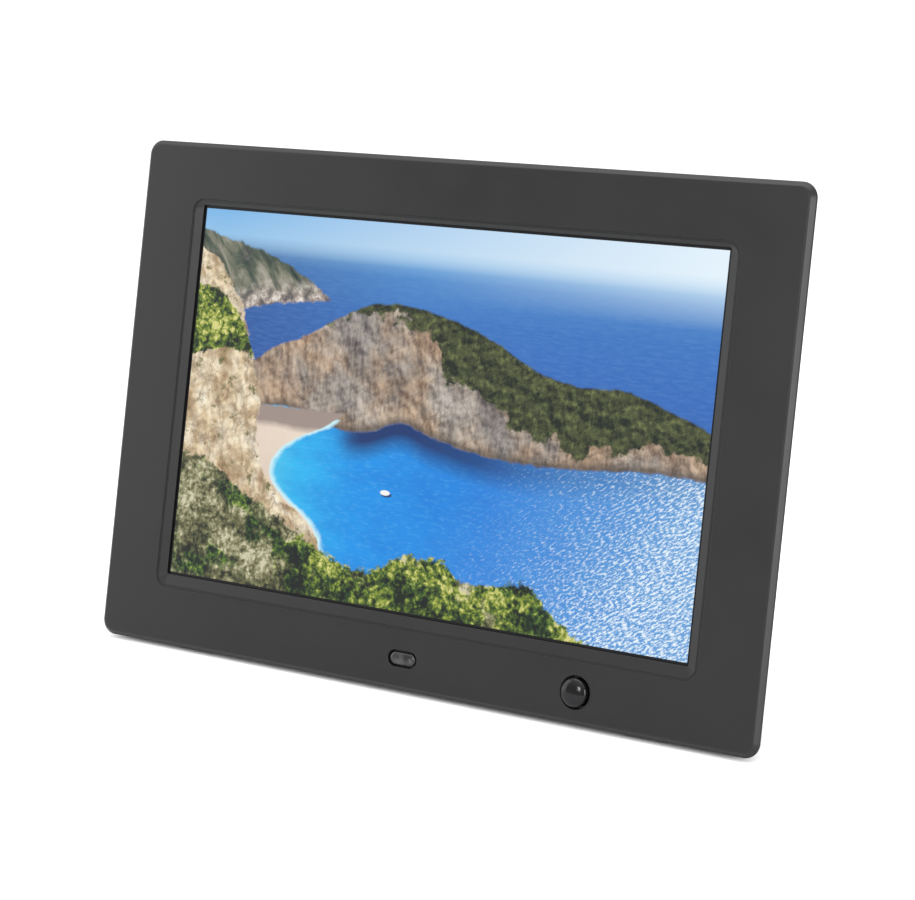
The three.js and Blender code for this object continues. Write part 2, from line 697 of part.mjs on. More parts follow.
function legPad() {
  const centreY = HINGE_DROP * Math.tan(LEG_FROM_UPRIGHT) + 0.2;
  const depth = 5.0;
  const length = 2 * LEG_FOOT_HALF_W - 2;
  const sole = -HINGE_DROP;
  return fromLevelToLeg(prismLevel(0, length, centreY - depth / 2, depth, sole, sole + LEG_PAD_T, 2.0));
}

// ---------------------------------------------------------------- keys and electronics

function key(z) {
  const x0 = KEY_X - KEY_W / 2;
  const z0 = z - KEY_H / 2;
  const outline = roundedRect(x0, x0 + KEY_W, z0, z0 + KEY_H, 1.3, 4);
  const crown = roundedRect(x0 + 0.5, x0 + KEY_W - 0.5, z0 + 0.5, z0 + KEY_H - 0.5, 1.0, 4);
  const flangeBack = HOUSING_Y - WALL - GAP;
  const flange = roundedRect(x0 - 1, x0 + KEY_W + 1, z0 - 1, z0 + KEY_H + 1, 1, 4);
  return join(
    loft([
      { y: flangeBack - 0.4, points: outline }, { y: HOUSING_Y + KEY_PROUD - 0.4, points: outline },
      { y: HOUSING_Y + KEY_PROUD, points: crown },
    ]),
    prism(flange, flangeBack - 0.8, flangeBack),
    prism(circle(KEY_X, z, 3.0, 16), flangeBack - 1.5, flangeBack - 0.4),
  );
}

function keySwitch(z) {
  const y0 = BOARD_BACK + GAP;
  const tip = HOUSING_Y - WALL - GAP - 1.5 - KEY_TRAVEL - GAP;
  return join(
    prism(roundedRect(KEY_X - 3, KEY_X + 3, z - 3, z + 3, 0.5, 2), y0, tip - 0.8),
    prism(circle(KEY_X, z, 3.2, 16), tip - 1, tip),
  );
}

function keyBoard() {
  const last = KEY_Z - (KEY_NAMES.length - 1) * KEY_PITCH;
  return block(KEY_X - 9, KEY_X + 9, BOARD_Y, BOARD_BACK, last - 8, KEY_Z + 8);
}

function mainBoard() {
  const { x0, x1, z0, z1 } = MAIN_BOARD;
  const holes = BOARD_SCREWS.map(([x, z]) => boss(x, z, 2.9, BOARD_Y - 1, BOARD_BACK + 1));
  return cut(block(x0, x1, BOARD_Y, BOARD_BACK, z0, z1), ...holes);
}

function cardSocket() {
  const { z } = SOCKETS.card;
  const y0 = BOARD_BACK + GAP;
  return cut(
    block(48, SOCKET_X, y0, y0 + 3.4, z - 13.6, z + 13.6),
    block(50, SOCKET_X + 1, y0 + 0.5, y0 + 2.9, z - 12.2, z + 12.2),
  );
}

function usbSocket() {
  const { z } = SOCKETS.usb;
  const y0 = BOARD_BACK + GAP;
  const wall = 0.35;
  return join(
    cut(
      block(61, SOCKET_X, y0, y0 + 5.7, z - 6.6, z + 6.6),
      block(62, SOCKET_X + 1, y0 + wall, y0 + 5.7 - wall, z - 6.6 + wall, z + 6.6 - wall),
    ),
    block(61.5, SOCKET_X - 1.5, y0 + 1.0, y0 + 2.6, z - 5.4, z + 5.4),
  );
}

function miniUsbSocket() {
  const { z } = SOCKETS.miniUsb;
  const y0 = BOARD_BACK + GAP;
  return join(
    cut(
      block(67, SOCKET_X, y0, y0 + 3.9, z - 3.9, z + 3.9),
      block(68, SOCKET_X + 1, y0 + 0.4, y0 + 3.5, z - 3.5, z + 3.5),
    ),
    block(67.5, SOCKET_X - 1, y0 + 1.5, y0 + 2.2, z - 2.4, z + 2.4),
  );
}

// A round socket on the board's edge, its mouth towards +x.
function roundSocket({ z, y }, { depth, halfW, bore, pin }) {
  const x0 = SOCKET_X - depth;
  const top = y + (y - BOARD_BACK - GAP);
  const body = cut(
    block(x0, SOCKET_X, BOARD_BACK + GAP, top, z - halfW, z + halfW),
    barX(x0 + 1.5, SOCKET_X + 1, y, z, bore, 20),
  );
  return pin ? join(body, barX(x0 + 1, SOCKET_X - 1, y, z, pin, 12)) : body;
}

function speaker(side) {
  const { z, t, coneDepth } = SPEAKER;
  const x = side * SPEAKER.x;
  const back = HOUSING_Y - WALL - GAP;
  const outline = (halfW, halfH) => roundedRect(x - halfW, x + halfW, z - halfH, z + halfH, 3, 4);
  const halfW = SPEAKER.w / 2;
  const halfH = SPEAKER.h / 2;
  const cone = loft([
    { y: back - coneDepth, points: outline(halfW / 2, halfH / 2) },
    { y: back + 0.1, points: outline(halfW - 2, halfH - 2) },
  ]);
  return cut(prism(outline(halfW, halfH), back - t, back), cone);
}

const RIBBON_T = 0.2;

// A thin flat cable, drawn as its centre line in one plane and its width across it.
function ribbon(points, width0, width1, plane) {
  const half = RIBBON_T / 2;
  const normals = points.map((p, i) => {
    const before = points[Math.max(i - 1, 0)];
    const after = points[Math.min(i + 1, points.length - 1)];
    const along = new THREE.Vector2(after[0] - before[0], after[1] - before[1]).normalize();
    return new THREE.Vector2(-along.y, along.x);
  });
  const edge = (distance) => points.map(([u, v], i) => (
    new THREE.Vector2(u + distance * normals[i].x, v + distance * normals[i].y)
  ));
  const shape = new THREE.Shape([...edge(-half), ...edge(half).reverse()]);
  const geometry = new THREE.ExtrudeGeometry(shape, { depth: width1 - width0, bevelEnabled: false });
  geometry.translate(0, 0, width0);
  if (plane === 'xy') return geometry;
  return geometry.rotateY(Math.PI / 2).rotateX(Math.PI / 2);
}

function sensorBoard() {
  const { x0, x1, y0, y1, z0, z1 } = SENSOR_BOARD;
  return block(x0, x1, y0, y1, z0, z1);
}

function pirSensor() {
  const back = SENSOR_BOARD.y0 - GAP;
  const can = [[0, 4.4], [4.0, 4.4], [4.1, 4.6], [4.1, 6.8], [4.5, 6.8], [4.5, back], [0, back]];
  return turned(can, PIR_X, PIR_Z, 24);
}

function irReceiver() {
  const x = IR_X - 2.2;
  return join(
    block(x - 2.9, x + 2.9, 5.0, SENSOR_BOARD.y0 - GAP, IR_Z - 2.6, IR_Z + 2.6),
    turned([[0, 3.7], [1.0, 3.9], [1.7, 4.4], [2.1, 5.1], [2.1, 5.6], [0, 5.6]], x, IR_Z, 20),
  );
}

function statusLed() {
  const x = IR_X + 3.4;
  const back = SENSOR_BOARD.y0 - GAP;
  return join(
    turned([[0, 3.9], [0.8, 4.1], [1.3, 4.7], [1.3, 6.9], [0, 6.9]], x, IR_Z, 16),
    turned([[0, 6.3], [1.6, 6.3], [1.6, back], [0, back]], x, IR_Z, 16),
  );
}

// ---------------------------------------------------------------- assembly

const panel = new THREE.Group();
panel.rotation.x = -LEAN;

const leg = new THREE.Group();
leg.position.set(0, HINGE_Y, HINGE_Z);
leg.rotation.x = LEAN + LEG_FROM_UPRIGHT;
panel.add(leg);

piece(panel, 'front_bezel', frontBezel(), 'bezelPlastic');
piece(panel, 'ir_window', irWindow(), 'smokedPlastic');
piece(panel, 'pir_lens', pirLens(), 'smokedPlastic');
piece(panel, 'screen_gasket', screenGasket(), 'foam');

piece(panel, 'lcd_panel', lcdPanel(), 'display');
piece(panel, 'lcd_frame', lcdFrame(), 'darkSteel');
piece(panel, 'diffuser_films', diffuserFilms(), 'film');
piece(panel, 'light_guide', lightGuide(), 'acrylic');
piece(panel, 'led_strip', ledStrip(), 'ledWhite');
piece(panel, 'backlight_tray', backlightTray(), 'steel');

const SIDES = [['left', -1], ['right', 1]];
const BRACKET_SCREW_HEAD_Y = MODULE_BACK + GAP + BRACKET.t + GAP + SCREW_HEAD_T;
for (const [name, side] of SIDES) {
  piece(panel, `panel_bracket_${name}`, panelBracket(side), 'steel');
  const shape = screw(side * CASE_SCREW_X, BRACKET_SCREW_Z, BRACKET_SCREW_HEAD_Y, -1, 6.6);
  piece(panel, `bracket_screw_${name}`, shape, 'steel');
}

piece(panel, 'rear_cover', rearCover(), 'coverPlastic');
for (const [row, z] of [['lower', CASE_SCREW_Z[0]], ['upper', CASE_SCREW_Z[1]]]) {
  for (const [name, side] of SIDES) {
    const shape = screw(side * CASE_SCREW_X, z, SHELF_Y, -1, CASE_SCREW_LENGTH);
    piece(panel, `case_screw_${row}_${name}`, shape, 'darkSteel');
  }
}
piece(panel, 'foot_left', fromLevel(geometryOf(foot(-1))), 'rubber');
piece(panel, 'foot_right', fromLevel(geometryOf(foot(1))), 'rubber');

piece(panel, 'hinge_bracket', hingeBracket(), 'steel');
piece(panel, 'friction_washer_left', frictionWasher(-1), 'darkSteel');
piece(panel, 'friction_washer_right', frictionWasher(1), 'darkSteel');
piece(panel, 'hinge_pin', hingePin(), 'steel');
piece(panel, 'retaining_clip', retainingClip(), 'steel');
piece(leg, 'stand_leg', standLeg(), 'coverPlastic');
piece(leg, 'leg_pad', legPad(), 'rubber');

KEY_NAMES.forEach((name, i) => {
  const z = KEY_Z - i * KEY_PITCH;
  piece(panel, `key_${name}`, key(z), 'keyPlastic');
  piece(panel, `switch_${name}`, keySwitch(z), 'chip');
});
piece(panel, 'key_board', keyBoard(), 'board');

const ON_BOARD = BOARD_BACK + GAP;
piece(panel, 'main_board', mainBoard(), 'board');
['lower', 'upper'].forEach((row, i) => {
  const [x, z] = BOARD_SCREWS[i];
  const shape = screw(x, z, BOARD_Y - GAP - SCREW_HEAD_T, 1, BOARD_SCREW_LENGTH, 2.2);
  piece(panel, `board_screw_${row}`, shape, 'steel');
});
for (const [name, { x0, x1, z0, z1, h }] of Object.entries(CHIPS)) {
  piece(panel, name, block(x0, x1, ON_BOARD, ON_BOARD + h, z0, z1), 'chip');
}
const coilOutline = roundedRect(COIL.x0, COIL.x1, COIL.z0, COIL.z1, COIL.r, 3);
piece(panel, 'power_coil', prism(coilOutline, ON_BOARD, ON_BOARD + COIL.h), 'chip');
const can = boss(CAPACITOR.x, CAPACITOR.z, CAPACITOR.d, ON_BOARD, ON_BOARD + CAPACITOR.h);
piece(panel, 'smoothing_capacitor', can, 'steel');
piece(panel, 'card_socket', cardSocket(), 'steel');
piece(panel, 'usb_socket', usbSocket(), 'steel');
piece(panel, 'mini_usb_socket', miniUsbSocket(), 'steel');
const headphone = roundSocket(ROUND_SOCKETS.headphone, { depth: 12, halfW: 3.2, bore: 3.7 });
const power = roundSocket(ROUND_SOCKETS.power, { depth: 12, halfW: 3.8, bore: 4.4, pin: 1.5 });
piece(panel, 'headphone_socket', headphone, 'chip');
piece(panel, 'power_socket', power, 'chip');

piece(panel, 'speaker_left', speaker(-1), 'chip');
piece(panel, 'speaker_right', speaker(1), 'chip');

// the flat cables' centre lines, under the boards and behind the display module
const UNDER_BOARD = BOARD_Y - GAP - RIBBON_T;
const BEHIND_MODULE = MODULE_BACK + GAP + RIBBON_T;
const displayPath = [
  [8, BEHIND_MODULE], [26, BEHIND_MODULE], [29, BEHIND_MODULE + 1.2],
  [33, UNDER_BOARD - 1.2], [38, UNDER_BOARD], [50, UNDER_BOARD],
];
const keyPath = [
  [-62, UNDER_BOARD], [-46, UNDER_BOARD], [-40, UNDER_BOARD - 1.4], [-34, 9.6], [30, 9.6],
  [34, UNDER_BOARD - 1.2], [39, UNDER_BOARD], [46, UNDER_BOARD],
];
const sensorPath = [
  [9.3, 8], [9.3, 20], [9.6, 36], [10.6, 42], [UNDER_BOARD, 47], [UNDER_BOARD, 56],
];
piece(panel, 'display_ribbon', ribbon(displayPath, 100, 118, 'xy'), 'ribbon');
piece(panel, 'key_ribbon', ribbon(keyPath, 84, 90, 'xy'), 'ribbon');
piece(panel, 'sensor_ribbon', ribbon(sensorPath, 60, 66, 'yz'), 'ribbon');

piece(panel, 'sensor_board', sensorBoard(), 'board');
piece(panel, 'pir_sensor', pirSensor(), 'steel');
piece(panel, 'ir_receiver', irReceiver(), 'chip');
piece(panel, 'status_led', statusLed(), 'ledWhite');

// Stands the object on the floor, with its box centred on the origin.
const photoFrame = new THREE.Group();
photoFrame.add(panel);
photoFrame.updateMatrixWorld(true);
const bounds = new THREE.Box3().setFromObject(photoFrame, true);
const centre = bounds.getCenter(new THREE.Vector3());
panel.position.set(-centre.x, -centre.y, -bounds.min.z);

export default photoFrame;
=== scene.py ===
import json
from math import acos, atan2, cos, hypot, pi, radians, sin, sqrt, tan

import bmesh
import bpy
import numpy as np
from mathutils import Matrix, Vector


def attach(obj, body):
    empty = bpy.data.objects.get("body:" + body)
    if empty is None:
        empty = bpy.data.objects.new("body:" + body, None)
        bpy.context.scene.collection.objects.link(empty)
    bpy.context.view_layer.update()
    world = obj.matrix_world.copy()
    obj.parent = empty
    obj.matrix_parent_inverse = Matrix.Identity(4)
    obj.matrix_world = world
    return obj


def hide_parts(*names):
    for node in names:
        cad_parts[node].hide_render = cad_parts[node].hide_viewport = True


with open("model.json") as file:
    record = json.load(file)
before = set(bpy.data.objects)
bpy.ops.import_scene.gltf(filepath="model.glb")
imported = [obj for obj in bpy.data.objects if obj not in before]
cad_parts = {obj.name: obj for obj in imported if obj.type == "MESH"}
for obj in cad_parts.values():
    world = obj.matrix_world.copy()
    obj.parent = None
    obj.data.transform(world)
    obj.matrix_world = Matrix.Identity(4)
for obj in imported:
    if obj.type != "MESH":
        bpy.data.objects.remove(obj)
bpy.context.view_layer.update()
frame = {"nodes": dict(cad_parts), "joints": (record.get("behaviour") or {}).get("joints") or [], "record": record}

# ------------------------------------------------------------------ where the CAD stands
# Everything below is in millimetres, in the panel's own axes: x to the right, y from the front
# face towards the back, z up from the outline's bottom edge. PANEL and LEG take it to the packed
# model's frame, in metres.

MM = 0.001
JOINTS = {joint["name"]: joint for joint in frame["joints"]}
PRESS = JOINTS["power_press"]["axis"]
LEAN = atan2(PRESS[2], -PRESS[1])
LEG_OPEN = radians(-JOINTS["leg_fold"]["range_deg"][0])
HINGE_Y, HINGE_Z = 18.5, 125.0


def panel_matrix():
    turn = Matrix.Rotation(-LEAN, 4, "X")
    hinge = turn @ Vector((0, HINGE_Y * MM, HINGE_Z * MM))
    return Matrix.Translation(Vector(JOINTS["leg_fold"]["pos_m"]) - hinge) @ turn


PANEL = panel_matrix()
LEG = PANEL @ Matrix.Translation((0, HINGE_Y * MM, HINGE_Z * MM)) @ Matrix.Rotation(LEG_OPEN, 4, "X")
LEVEL = Matrix.Rotation(LEAN, 4, "X")

PICTURE_W, PICTURE_H = 217.0, 135.6
BORDER_SIDE, BORDER_TOP, BORDER_BOTTOM = 29.2, 24.0, 27.1
HALF_W = PICTURE_W / 2 + BORDER_SIDE
OUTLINE_H = PICTURE_H + BORDER_TOP + BORDER_BOTTOM
OUTLINE_R, CHAMFER, PLATE, GAP = 5.5, 1.7, 2.3, 0.3
LIP_SIDE, LIP_TOP, LIP_BOTTOM, LIP_R, LIP_STEP, LIP_DEPTH = 5.0, 3.2, 5.9, 5.0, 0.35, 1.3
GROOVE_W, GROOVE_DEPTH = 0.9, 0.6
GLASS_Y, GLASS_T = 2.2, 1.4
MODULE_W, MODULE_H, MODULE_BACK = 229.4, 149.0, 7.5
MODULE_Z = BORDER_BOTTOM + PICTURE_H / 2 - 1.5
IR_X, IR_Z, IR_W, IR_H = -1.1, 11.2, 12.0, 5.9
PIR_X, PIR_Z, PIR_HOLE_D, PIR_DOME_D, PIR_WALL_PROUD, PIR_PROUD = 69.0, 11.0, 11.2, 9.8, 0.7, 2.2
WALL, COVER_Y, COVER_INSET, SHELF_Y, HOUSING_Y = 2.0, 2.6, 1.2, 13.6, 22.0
HOUSING_HALF_W, HOUSING_TOP, DRAFT = 80.0, 141.0, 1.5
CHANNEL_HALF_W, CHANNEL_Y, CHANNEL_TOP = 31.5, 15.0, 136.5
BARREL_R, BARREL_HALF_W, PIN_HOLE_D = 3.2, 25.5, 3.6
LEG_FRONT, LEG_BACK, LEG_FOOT_HALF_W, LEG_PAD_T = -2.3, 2.7, 23.0, 2.2
FOOT_X, FOOT_LENGTH, FOOT_DEPTH, FOOT_FRONT, FOOT_SEAT, SOLE_Z = 95.0, 20.0, 8.5, 4.0, 0.8, -1.6
CASE_SCREW_X, CASE_SCREW_Z, BRACKET_SCREW_Z, SCREW_HOLE_D = 119.5, (22.0, 165.0), 94.0, 3.1
CASE_SCREWS = [(x, z) for x in (-CASE_SCREW_X, CASE_SCREW_X) for z in CASE_SCREW_Z]
HANGER_X, HANGER_Z = 100.0, 148.0
KEYS = ("power", "menu", "previous", "play", "next")
KEY_X, KEY_Z, KEY_PITCH, KEY_W, KEY_H, KEY_PROUD, KEY_CLEARANCE = -57.0, 122.0, 13.0, 12.0, 6.0, 1.2, 0.35
BOARD_BACK, SOCKET_X, OUTSIDE_X, JACK_Y = 13.9, 76.0, 90.0, 17.0
CARD_Z, USB_Z, MINI_USB_Z, HEADPHONE_Z, POWER_Z = 110.0, 86.5, 73.0, 63.0, 53.0
BOARD_SCREWS = ((41.5, 49.5), (41.5, 123.5))
SPEAKER_X, SPEAKER_Z = 57.0, 27.0


# ------------------------------------------------------------------ materials


def rgb(text):
    """The linear colour of six hexadecimal sRGB digits."""
    values = [int(text[i:i + 2], 16) / 255 for i in (0, 2, 4)]
    return [v / 12.92 if v <= 0.04045 else ((v + 0.055) / 1.055) ** 2.4 for v in values] + [1.0]


class Paint:
    """A node-based material that is being put together."""

    def __init__(self, name, **values):
        self.material = bpy.data.materials.new(name)
        self.material.use_nodes = True
        self.tree = self.material.node_tree
        self.tree.nodes.clear()
        self.shader = self.node("BsdfPrincipled")
        output = self.node("OutputMaterial")
        self.tree.links.new(self.shader.outputs[0], output.inputs[0])
        self.at = self.node("TexCoord").outputs["Object"]
        for socket, value in values.items():
            self.put(socket, value)

    def node(self, kind, *inputs, **settings):
        node = self.tree.nodes.new("ShaderNode" + kind)
        for key, value in settings.items():
            setattr(node, key, value)
        for socket, value in zip(node.inputs, inputs):
            self.feed(socket, value)
        return node

    def feed(self, socket, value):
        if isinstance(value, bpy.types.NodeSocket):
            self.tree.links.new(value, socket)
        elif value is not None:
            socket.default_value = rgb(value) if isinstance(value, str) else value

    def put(self, socket, value):
        self.feed(self.shader.inputs[socket.replace("_", " ")], value)

    def math(self, operation, a, b=0.0, clamp=False):
        return self.node("Math", a, b, operation=operation, use_clamp=clamp).outputs[0]

    def times(self, a, b, clamp=False):
        return self.math("MULTIPLY", a, b, clamp)

    def plus(self, a, b, clamp=False):
        return self.math("ADD", a, b, clamp)

    def minus(self, a, b):
        return self.math("SUBTRACT", a, b)

    def vector(self, operation, a, b):
        return self.node("VectorMath", a, b, operation=operation).outputs[0]

    def panel_axes(self):
        """x and z in the panel's own axes, in metres."""
        offset = self.vector("SUBTRACT", self.at, tuple(PANEL.translation))
        upward = self.node("VectorMath", offset, tuple(PANEL.col[2].xyz), operation="DOT_PRODUCT")
        return self.node("SeparateXYZ", offset).outputs[0], upward.outputs["Value"]

    def noise(self, scale, detail, roughness=0.5, at=None, distortion=0.0):
        node = self.node("TexNoise", noise_dimensions="3D")
        self.feed(node.inputs["Vector"], self.at if at is None else at)
        names = ("Scale", "Detail", "Roughness", "Distortion")
        for name, value in zip(names, (scale, detail, roughness, distortion)):
            node.inputs[name].default_value = value
        return node.outputs["Fac"]

    def cells(self, scale, at=None, feature="F1"):
        node = self.node("TexVoronoi", feature=feature)
        self.feed(node.inputs["Vector"], self.at if at is None else at)
        node.inputs["Scale"].default_value = scale
        return node.outputs["Distance"]

    def mix(self, share, a, b):
        node = self.node("Mix", data_type="RGBA")
        for index, value in ((0, share), (6, a), (7, b)):
            self.feed(node.inputs[index], value)
        return node.outputs[2]

    def ramp(self, value, *stops):
        node = self.node("ValToRGB", value)
        elements = node.color_ramp.elements
        while len(elements) < len(stops):
            elements.new(0.5)
        for element, (place, colour) in zip(elements, stops):
            element.position = place
            element.color = rgb(colour) if isinstance(colour, str) else colour
        return node.outputs[0]

    def span(self, value, low, high, to_low=0.0, to_high=1.0):
        node = self.node("MapRange", value, low, high, to_low, to_high)
        return node.outputs[0]

    def curve(self, value, *points):
        node = self.node("FloatCurve")
        self.feed(node.inputs["Value"], value)
        line = node.mapping.curves[0]
        while len(line.points) < len(points):
            line.points.new(0.5, 0.5)
        for point, place in zip(line.points, sorted(points)):
            point.location = place
        node.mapping.update()
        return node.outputs[0]

    def bump(self, height, distance, strength):
        """Puts a relief on the surface. distance is its depth, in millimetres."""
        node = self.node("Bump")
        for name, value in (("Height", height), ("Distance", distance * MM), ("Strength", strength)):
            self.feed(node.inputs[name], value)
        self.put("Normal", node.outputs[0])

    def roughen(self, scale, low, high):
        self.put("Roughness", self.span(self.noise(scale, 2), 0.3, 0.7, low, high))


def scaled(shade, times):
    return tuple(c * times for c in shade) + (1.0,)


def wear(paint):
    """How rubbed an edge is: 1 along the piece's convex edges, broken up by noise."""
    edge = paint.node("Attribute", attribute_name="edge").outputs["Fac"]
    return paint.times(edge, paint.span(paint.noise(420, 3), 0.35, 0.65), clamp=True)


def moulded(name, shade, roughness, grain, depth, rubbed=0.35, level=0.5):
    """Moulded plastic with a spark-eroded grain, in mm, slight flow marks and rubbed edges."""
    paint = Paint(name)
    broad = paint.noise(38, 3, 0.55)
    flow = paint.noise(9, 2, 0.6, at=paint.vector("MULTIPLY", paint.at, (1.0, 1.0, 3.0)), distortion=0.6)
    fine = paint.noise(1000 / grain, 2, 0.6)
    pits = paint.cells(620 / grain)
    low, high, worn = ((shade * times,) * 3 + (1.0,) for times in (0.88, 1.12, 1.9))
    base = paint.mix(paint.times(paint.plus(broad, flow), 0.5), low, high)
    rub = paint.times(wear(paint), rubbed)
    paint.put("Base_Color", paint.mix(rub, base, worn))
    uneven = paint.plus(paint.times(broad, 0.6), paint.times(fine, 0.4))
    rough = paint.span(uneven, 0.3, 0.7, roughness - 0.05, roughness + 0.05)
    paint.put("Roughness", paint.minus(rough, paint.times(rub, 0.12)))
    paint.put("Specular_IOR_Level", level)
    height = paint.plus(paint.times(fine, 0.65), paint.times(pits, 0.35))
    paint.bump(height, depth, 0.9)
    return paint.material


def glossy(name, shade, roughness, level):
    """Polished plastic or glass: faint colour change, fine polishing waves."""
    paint = Paint(name)
    low, high = scaled(shade, 0.9), scaled(shade, 1.1)
    paint.put("Base_Color", paint.mix(paint.noise(120, 3), low, high))
    paint.roughen(900, roughness * 0.8, roughness * 1.25)
    paint.put("Specular_IOR_Level", level)
    paint.bump(paint.noise(300, 2), 0.003, 0.6)
    return paint.material


def metal(name, shade, roughness, brush=(60.0, 60.0, 1400.0)):
    """Rolled or turned metal, with fine lines along the direction that brush leaves long."""
    paint = Paint(name, Metallic=1.0)
    lines = paint.noise(1.0, 4, 0.7, at=paint.vector("MULTIPLY", paint.at, brush))
    blotch = paint.noise(140, 4, 0.6)
    clean = paint.mix(lines, scaled(shade, 0.92), scaled(shade, 1.08))
    paint.put("Base_Color", paint.mix(paint.span(blotch, 0.55, 0.8), clean, scaled(shade, 0.75)))
    uneven = paint.plus(paint.times(lines, 0.7), paint.times(blotch, 0.3))
    paint.put("Roughness", paint.span(uneven, 0.3, 0.7, roughness * 0.75, roughness * 1.3))
    paint.bump(lines, 0.004, 0.7)
    return paint.material


def rubber(name):
    paint = Paint(name)
    broad = paint.noise(160, 4)
    fine = paint.noise(3400, 2)
    paint.put("Base_Color", paint.mix(broad, (0.010, 0.010, 0.010, 1), (0.020, 0.020, 0.021, 1)))
    paint.put("Roughness", paint.span(fine, 0.3, 0.7, 0.72, 0.92))
    paint.bump(paint.plus(fine, paint.cells(1800)), 0.02, 0.8)
    return paint.material


def foam(name):
    paint = Paint(name, Roughness=1.0)
    pores = paint.cells(2600)
    paint.put("Base_Color", paint.ramp(pores, (0.1, (0.008, 0.008, 0.008, 1)), (0.6, (0.03, 0.03, 0.03, 1))))
    paint.bump(pores, 0.12, 1.0)
    return paint.material


def circuit_board(name):
    """Green solder mask over copper tracks, with tinned pads."""
    paint = Paint(name)
    grid = paint.node("TexBrick", offset=0.37)
    paint.feed(grid.inputs["Vector"], paint.node("Mapping", paint.at, None, (pi / 2, 0, 0)).outputs[0])
    for key, value in (("Scale", 520.0), ("Mortar Size", 0.06), ("Brick Width", 1.7), ("Row Height", 0.5)):
        grid.inputs[key].default_value = value
    tracks = grid.outputs["Fac"]
    mask = paint.mix(tracks, (0.010, 0.085, 0.030, 1), (0.004, 0.040, 0.014, 1))
    pads = paint.math("LESS_THAN", paint.cells(430), 0.16)
    paint.put("Base_Color", paint.mix(pads, mask, (0.62, 0.60, 0.52, 1)))
    paint.roughen(700, 0.28, 0.42)
    paint.bump(tracks, 0.02, 0.6)
    return paint.material


def film_like(name, low, high, roughness):
    """A plastic film or sheet with a faint cloudiness and fine grain."""
    paint = Paint(name)
    paint.put("Base_Color", paint.mix(paint.noise(90, 3), low + (1.0,), high + (1.0,)))
    paint.roughen(1500, roughness - 0.08, roughness + 0.08)
    paint.bump(paint.noise(2500, 2), 0.006, 0.6)
    return paint.material


def ribbon_like(name):
    """Flat cable: pale plastic with its conductors showing through."""
    paint = Paint(name)
    stripes = paint.node("TexWave", wave_type="BANDS", bands_direction="X")
    paint.feed(stripes.inputs["Vector"], paint.at)
    stripes.inputs["Scale"].default_value = 480.0
    cores = paint.ramp(stripes.outputs["Fac"], (0.35, (0.55, 0.50, 0.40, 1)), (0.65, (0.78, 0.75, 0.66, 1)))
    paint.put("Base_Color", cores)
    paint.roughen(800, 0.32, 0.5)
    paint.bump(stripes.outputs["Fac"], 0.02, 0.5)
    return paint.material


def seen_through_window(name):
    """The smoked window of the infrared receiver, with the receiver and the lamp showing in it."""
    paint = Paint(name)
    x, z = paint.panel_axes()

    def disc(cx, cz, radius, soft):
        dx = paint.minus(x, cx * MM)
        dz = paint.minus(z, cz * MM)
        far = paint.math("SQRT", paint.plus(paint.times(dx, dx), paint.times(dz, dz)))
        return paint.span(far, radius * MM, (radius - soft) * MM)

    ground = paint.mix(paint.noise(500, 3), (0.008, 0.008, 0.008, 1), (0.012, 0.012, 0.012, 1))
    glow = paint.mix(disc(IR_X - 1.2, IR_Z - 0.1, 2.9, 1.8), ground, (0.034, 0.034, 0.035, 1))
    pupil = paint.mix(disc(IR_X - 2.0, IR_Z + 0.3, 1.1, 0.9), glow, (0.014, 0.014, 0.014, 1))
    ring = paint.mix(disc(IR_X + 2.3, IR_Z, 1.9, 0.8), pupil, (0.007, 0.007, 0.007, 1))
    lamp = paint.mix(disc(IR_X + 3.4, IR_Z - 0.1, 1.2, 0.8), ring, (0.040, 0.040, 0.040, 1))
    paint.put("Base_Color", lamp)
    paint.roughen(900, 0.16, 0.24)
    paint.bump(paint.noise(500, 2), 0.004, 0.5)
    return paint.material


